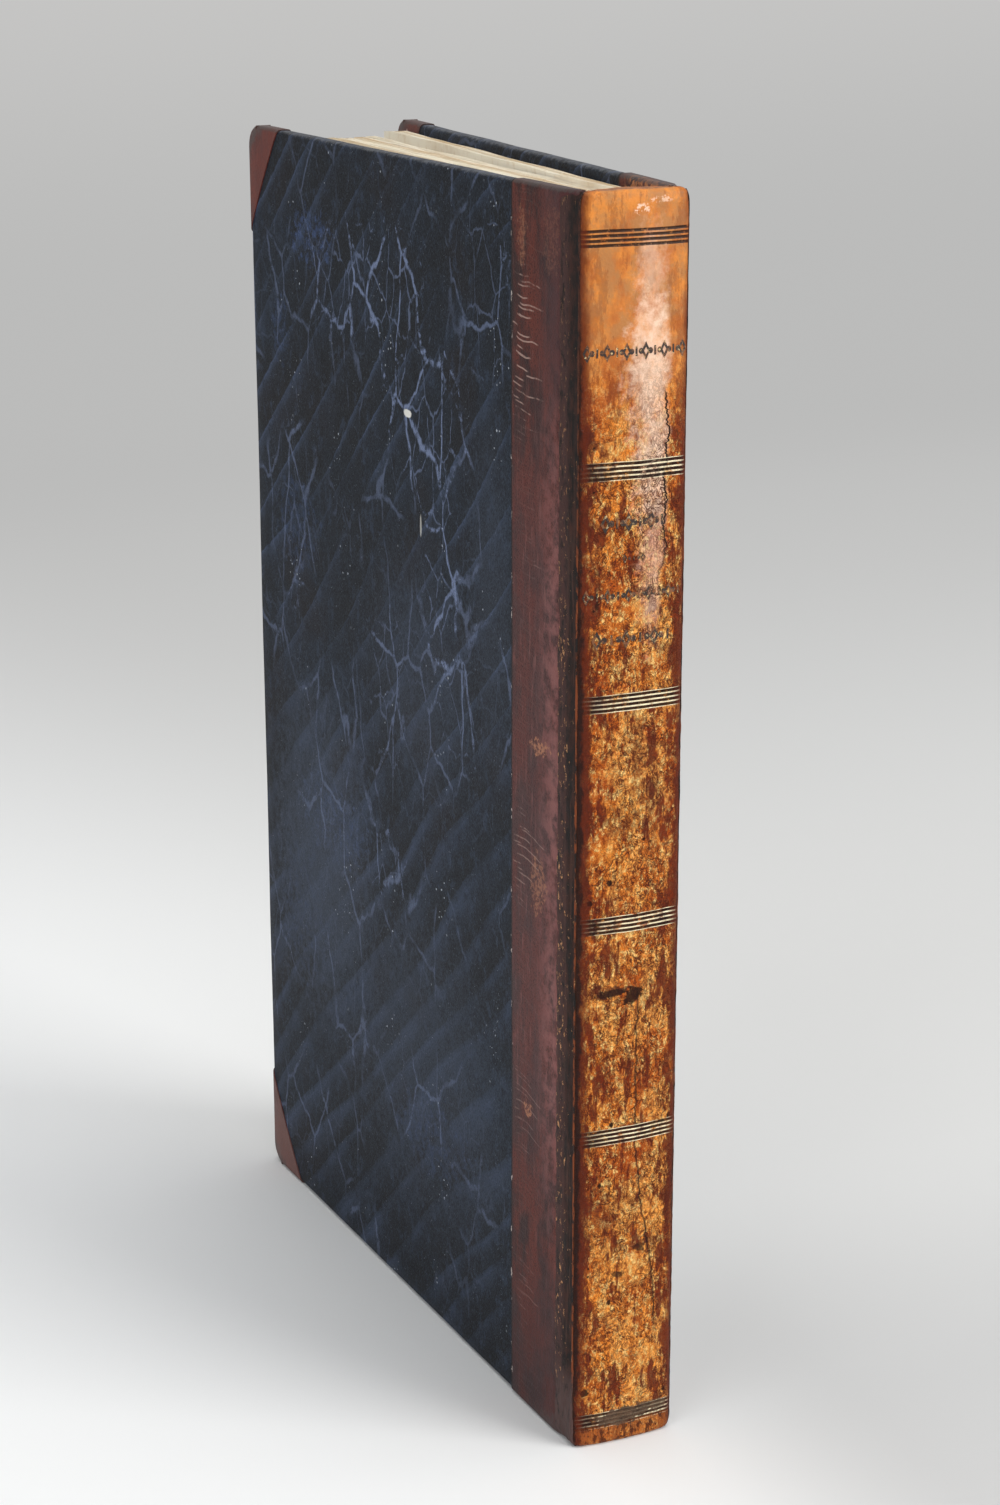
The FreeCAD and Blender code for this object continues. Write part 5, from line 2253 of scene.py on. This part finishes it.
def tan_calf(book: BookFrame, bands: tuple) -> TanCalf:
    """Finish of the back, with the marks of the photographed one.

    Args:
        book: Places of the book.
        bands: Heights of the tooled bands in millimetres.

    Returns:
        The finish.
    """
    spots = on_spine(
        book, (1.0, 86.7, 2.3, 1.5, 1.0), (-3.4, 87.6, 3.4, 0.8, 0.9), (-3.9, 107.9, 0.5, 0.6, 1.0),
        (-7.5, 104.7, 0.5, 0.6, 1.0), (2.5, 115.0, 0.3, 0.4, 1.0), (-3.1, 62.9, 0.5, 0.6, 1.0),
        (8.3, 62.5, 0.6, 0.6, 1.0), (-5.2, 51.5, 0.4, 0.5, 1.0), (2.6, 38.2, 1.3, 1.0, 0.8),
        (-1.6, 33.6, 1.1, 0.6, 0.8), (-3.2, 28.3, 0.4, 0.6, 1.0), (-8.0, 10.9, 0.9, 0.8, 1.0),
        (8.2, 8.4, 0.5, 0.6, 1.0), (-6.6, 157.0, 0.4, 0.9, 0.8))
    stains = on_spine(
        book, (-8.4, 185.0, 1.8, 3.6, 0.9), (-8.6, 172.0, 1.6, 3.5, 0.7), (-9.0, 122.0, 1.3, 22.0, 0.8),
        (-4.6, 88.0, 4.4, 1.3, 0.8), (1.4, 127.0, 1.7, 11.0, 0.55), (-9.0, 45.0, 1.6, 18.0, 0.8),
        (-4.8, 46.0, 2.6, 5.0, 0.55), (8.6, 47.8, 1.2, 4.0, 0.8), (3.5, 39.0, 6.0, 0.8, 0.55),
        (-2.0, 119.0, 3.5, 3.2, 0.5), (4.2, 118.0, 1.5, 9.0, 0.4), (-7.0, 160.0, 1.2, 6.0, 0.6),
        (6.5, 148.5, 2.0, 1.4, 0.5), (-2.5, 47.5, 5.0, 0.8, 0.5), (8.8, 92.0, 0.8, 10.0, 0.5))
    # Pale patches of partly polished wear, partly painted highlight.
    polished = on_spine(
        book, (2.9, 196.0, 4.4, 15.0, 1.0), (3.8, 181.0, 4.2, 14.0, 1.0), (2.8, 212.0, 3.0, 8.0, 0.45),
        (3.6, 163.0, 2.8, 13.0, 0.6))
    smears = on_spine(book, (0.5, 5.0, 5.6, 1.7, 1.0), (5.0, 5.9, 4.0, 1.1, 0.8))
    scuffed = on_spine(book, (1.0, 221.7, 1.7, 0.9, 1.0), (4.5, 223.3, 2.5, 0.6, 0.7))
    return TanCalf("tan_calf", specular=0.15, bands=bands, spots=spots, stains=stains,
                   polished=polished, smears=smears, scuffed=scuffed)


def marbled_paper(book: BookFrame, side: Side) -> MarbledPaper:
    """Finish of a cover's paper; the near one has the marks of the photographed one.

    Args:
        book: Places of the book.
        side: Which cover.

    Returns:
        The finish.
    """
    if side is Side.BACK:
        return MarbledPaper(
            "marbled_paper_back", specular=0.10,
            veined=on_board(book, side, (76.0, 200.0, 19.0, 11.0, 1.0), (58.0, 178.0, 15.0, 14.0, 1.0),
                            (51.0, 152.0, 7.0, 20.0, 1.0), (94.0, 198.0, 14.0, 10.0, 0.8),
                            (44.0, 128.0, 9.0, 10.0, 0.7), (75.0, 124.0, 8.0, 16.0, 0.6),
                            (120.0, 152.0, 5.0, 24.0, 0.5), (32.0, 205.0, 9.0, 14.0, 0.6),
                            (78.0, 88.0, 12.0, 6.0, 0.6)),
            clouds=on_board(book, side, (108.0, 206.0, 10.0, 5.0, 1.0), (103.0, 89.0, 17.0, 8.0, 0.75),
                            (118.0, 148.0, 10.0, 9.0, 0.4), (118.0, 66.0, 13.0, 16.0, 0.4),
                            (57.0, 38.0, 16.0, 8.0, 0.5), (125.0, 186.0, 4.0, 7.0, 0.5)),
            chips=on_board(book, side, (64.8, 178.6, 1.6, 0.8, 1.0), (59.6, 158.8, 0.4, 2.4, 0.5)),
            # Patches of painted sheen.
            sheen_patches=on_board(book, side, (110.0, 80.0, 26.0, 34.0, 0.9), (60.0, 130.0, 26.0, 24.0, 0.5),
                           (60.0, 50.0, 40.0, 30.0, 0.5), (30.0, 150.0, 10.0, 34.0, 0.5)),
            calm=on_board(book, side, (78.0, 150.0, 22.0, 20.0, 0.75), (100.0, 122.0, 24.0, 14.0, 0.75),
                          (50.0, 205.0, 36.0, 22.0, 0.85)))
    return MarbledPaper(
        "marbled_paper_front", specular=0.10,
        veined=on_board(book, side, (110.0, 90.0, 26.0, 30.0, 1.0), (70.0, 30.0, 14.0, 30.0, 1.0)),
        clouds=on_board(book, side, (90.0, 120.0, 12.0, 7.0, 0.8)),
        chips=on_board(book, side, (100.0, 60.0, 1.0, 0.7, 1.0)),
        calm=on_board(book, side, (60.0, 160.0, 18.0, 20.0, 0.8)))


def brown_calf(book: BookFrame) -> BrownCalf:
    """Finish of the strips and corners.

    Args:
        book: Places of the book.

    Returns:
        The finish.
    """
    side = Side.BACK
    scratched = on_board(book, side, (17.5, 198.0, 8.5, 12.0, 1.0), (14.0, 108.0, 9.0, 9.0, 0.55),
                         (15.0, 60.0, 8.0, 8.0, 0.35), (13.0, 24.0, 7.0, 9.0, 0.25),
                         (12.0, 165.0, 5.0, 8.0, 0.2))
    scuffs = on_board(book, side, (12.0, 129.0, 3.6, 1.6, 1.0), (18.5, 216.0, 1.6, 5.0, 0.45),
                      (12.0, 104.0, 3.0, 5.0, 0.6), (16.0, 60.0, 1.6, 1.4, 1.0), (8.0, 216.0, 3.0, 6.0, 0.16))
    inner = book.on_cover(Side.FRONT, 3.2 * MM, 9.0 * MM, 223.0 * MM) / MM
    return BrownCalf("brown_calf", specular=0.18, scratched=scratched, scuffs=scuffs,
                     mottled=(Blot(inner.x, inner.y, inner.z, 11.0, 5.0),))


def main() -> None:
    """Builds the book's pieces, the studio and the camera."""
    book = BookFrame()
    effects = Effects()
    bands = (217.4, 179.4, 139.8, 100.2, 60.6, 4.9)
    tan = tan_calf(book, bands).build(effects)
    calf = brown_calf(book).build(effects)
    joint = JointCalf("joint_calf", specular=0.3).build(effects)
    endpaper = AgedPaper("endpaper", edge_tone=False, stained=0.22).build(effects)
    leaf_paper = AgedPaper("leaf_paper").build(effects)
    raw = dress_hidden_nodes(effects)
    leaves = Leaves(book)
    leaves.build(leaf_paper)
    leaves.glued_back(leaf_paper)
    back = Back(book, bands=tuple(band * MM for band in bands))
    back.skin(tan)
    back.stamps(WornGilt("worn_gilt").build(effects))
    for side in Side:
        paper = marbled_paper(book, side).build(effects)
        Cover(book, side, seed=3.0 * side.value).build(paper, calf, endpaper, raw)
        back.joint(side, joint)
        back.endpaper_fold(side, endpaper)
    Studio(book).build()
    deselect()


if __name__ == "__main__":
    main()
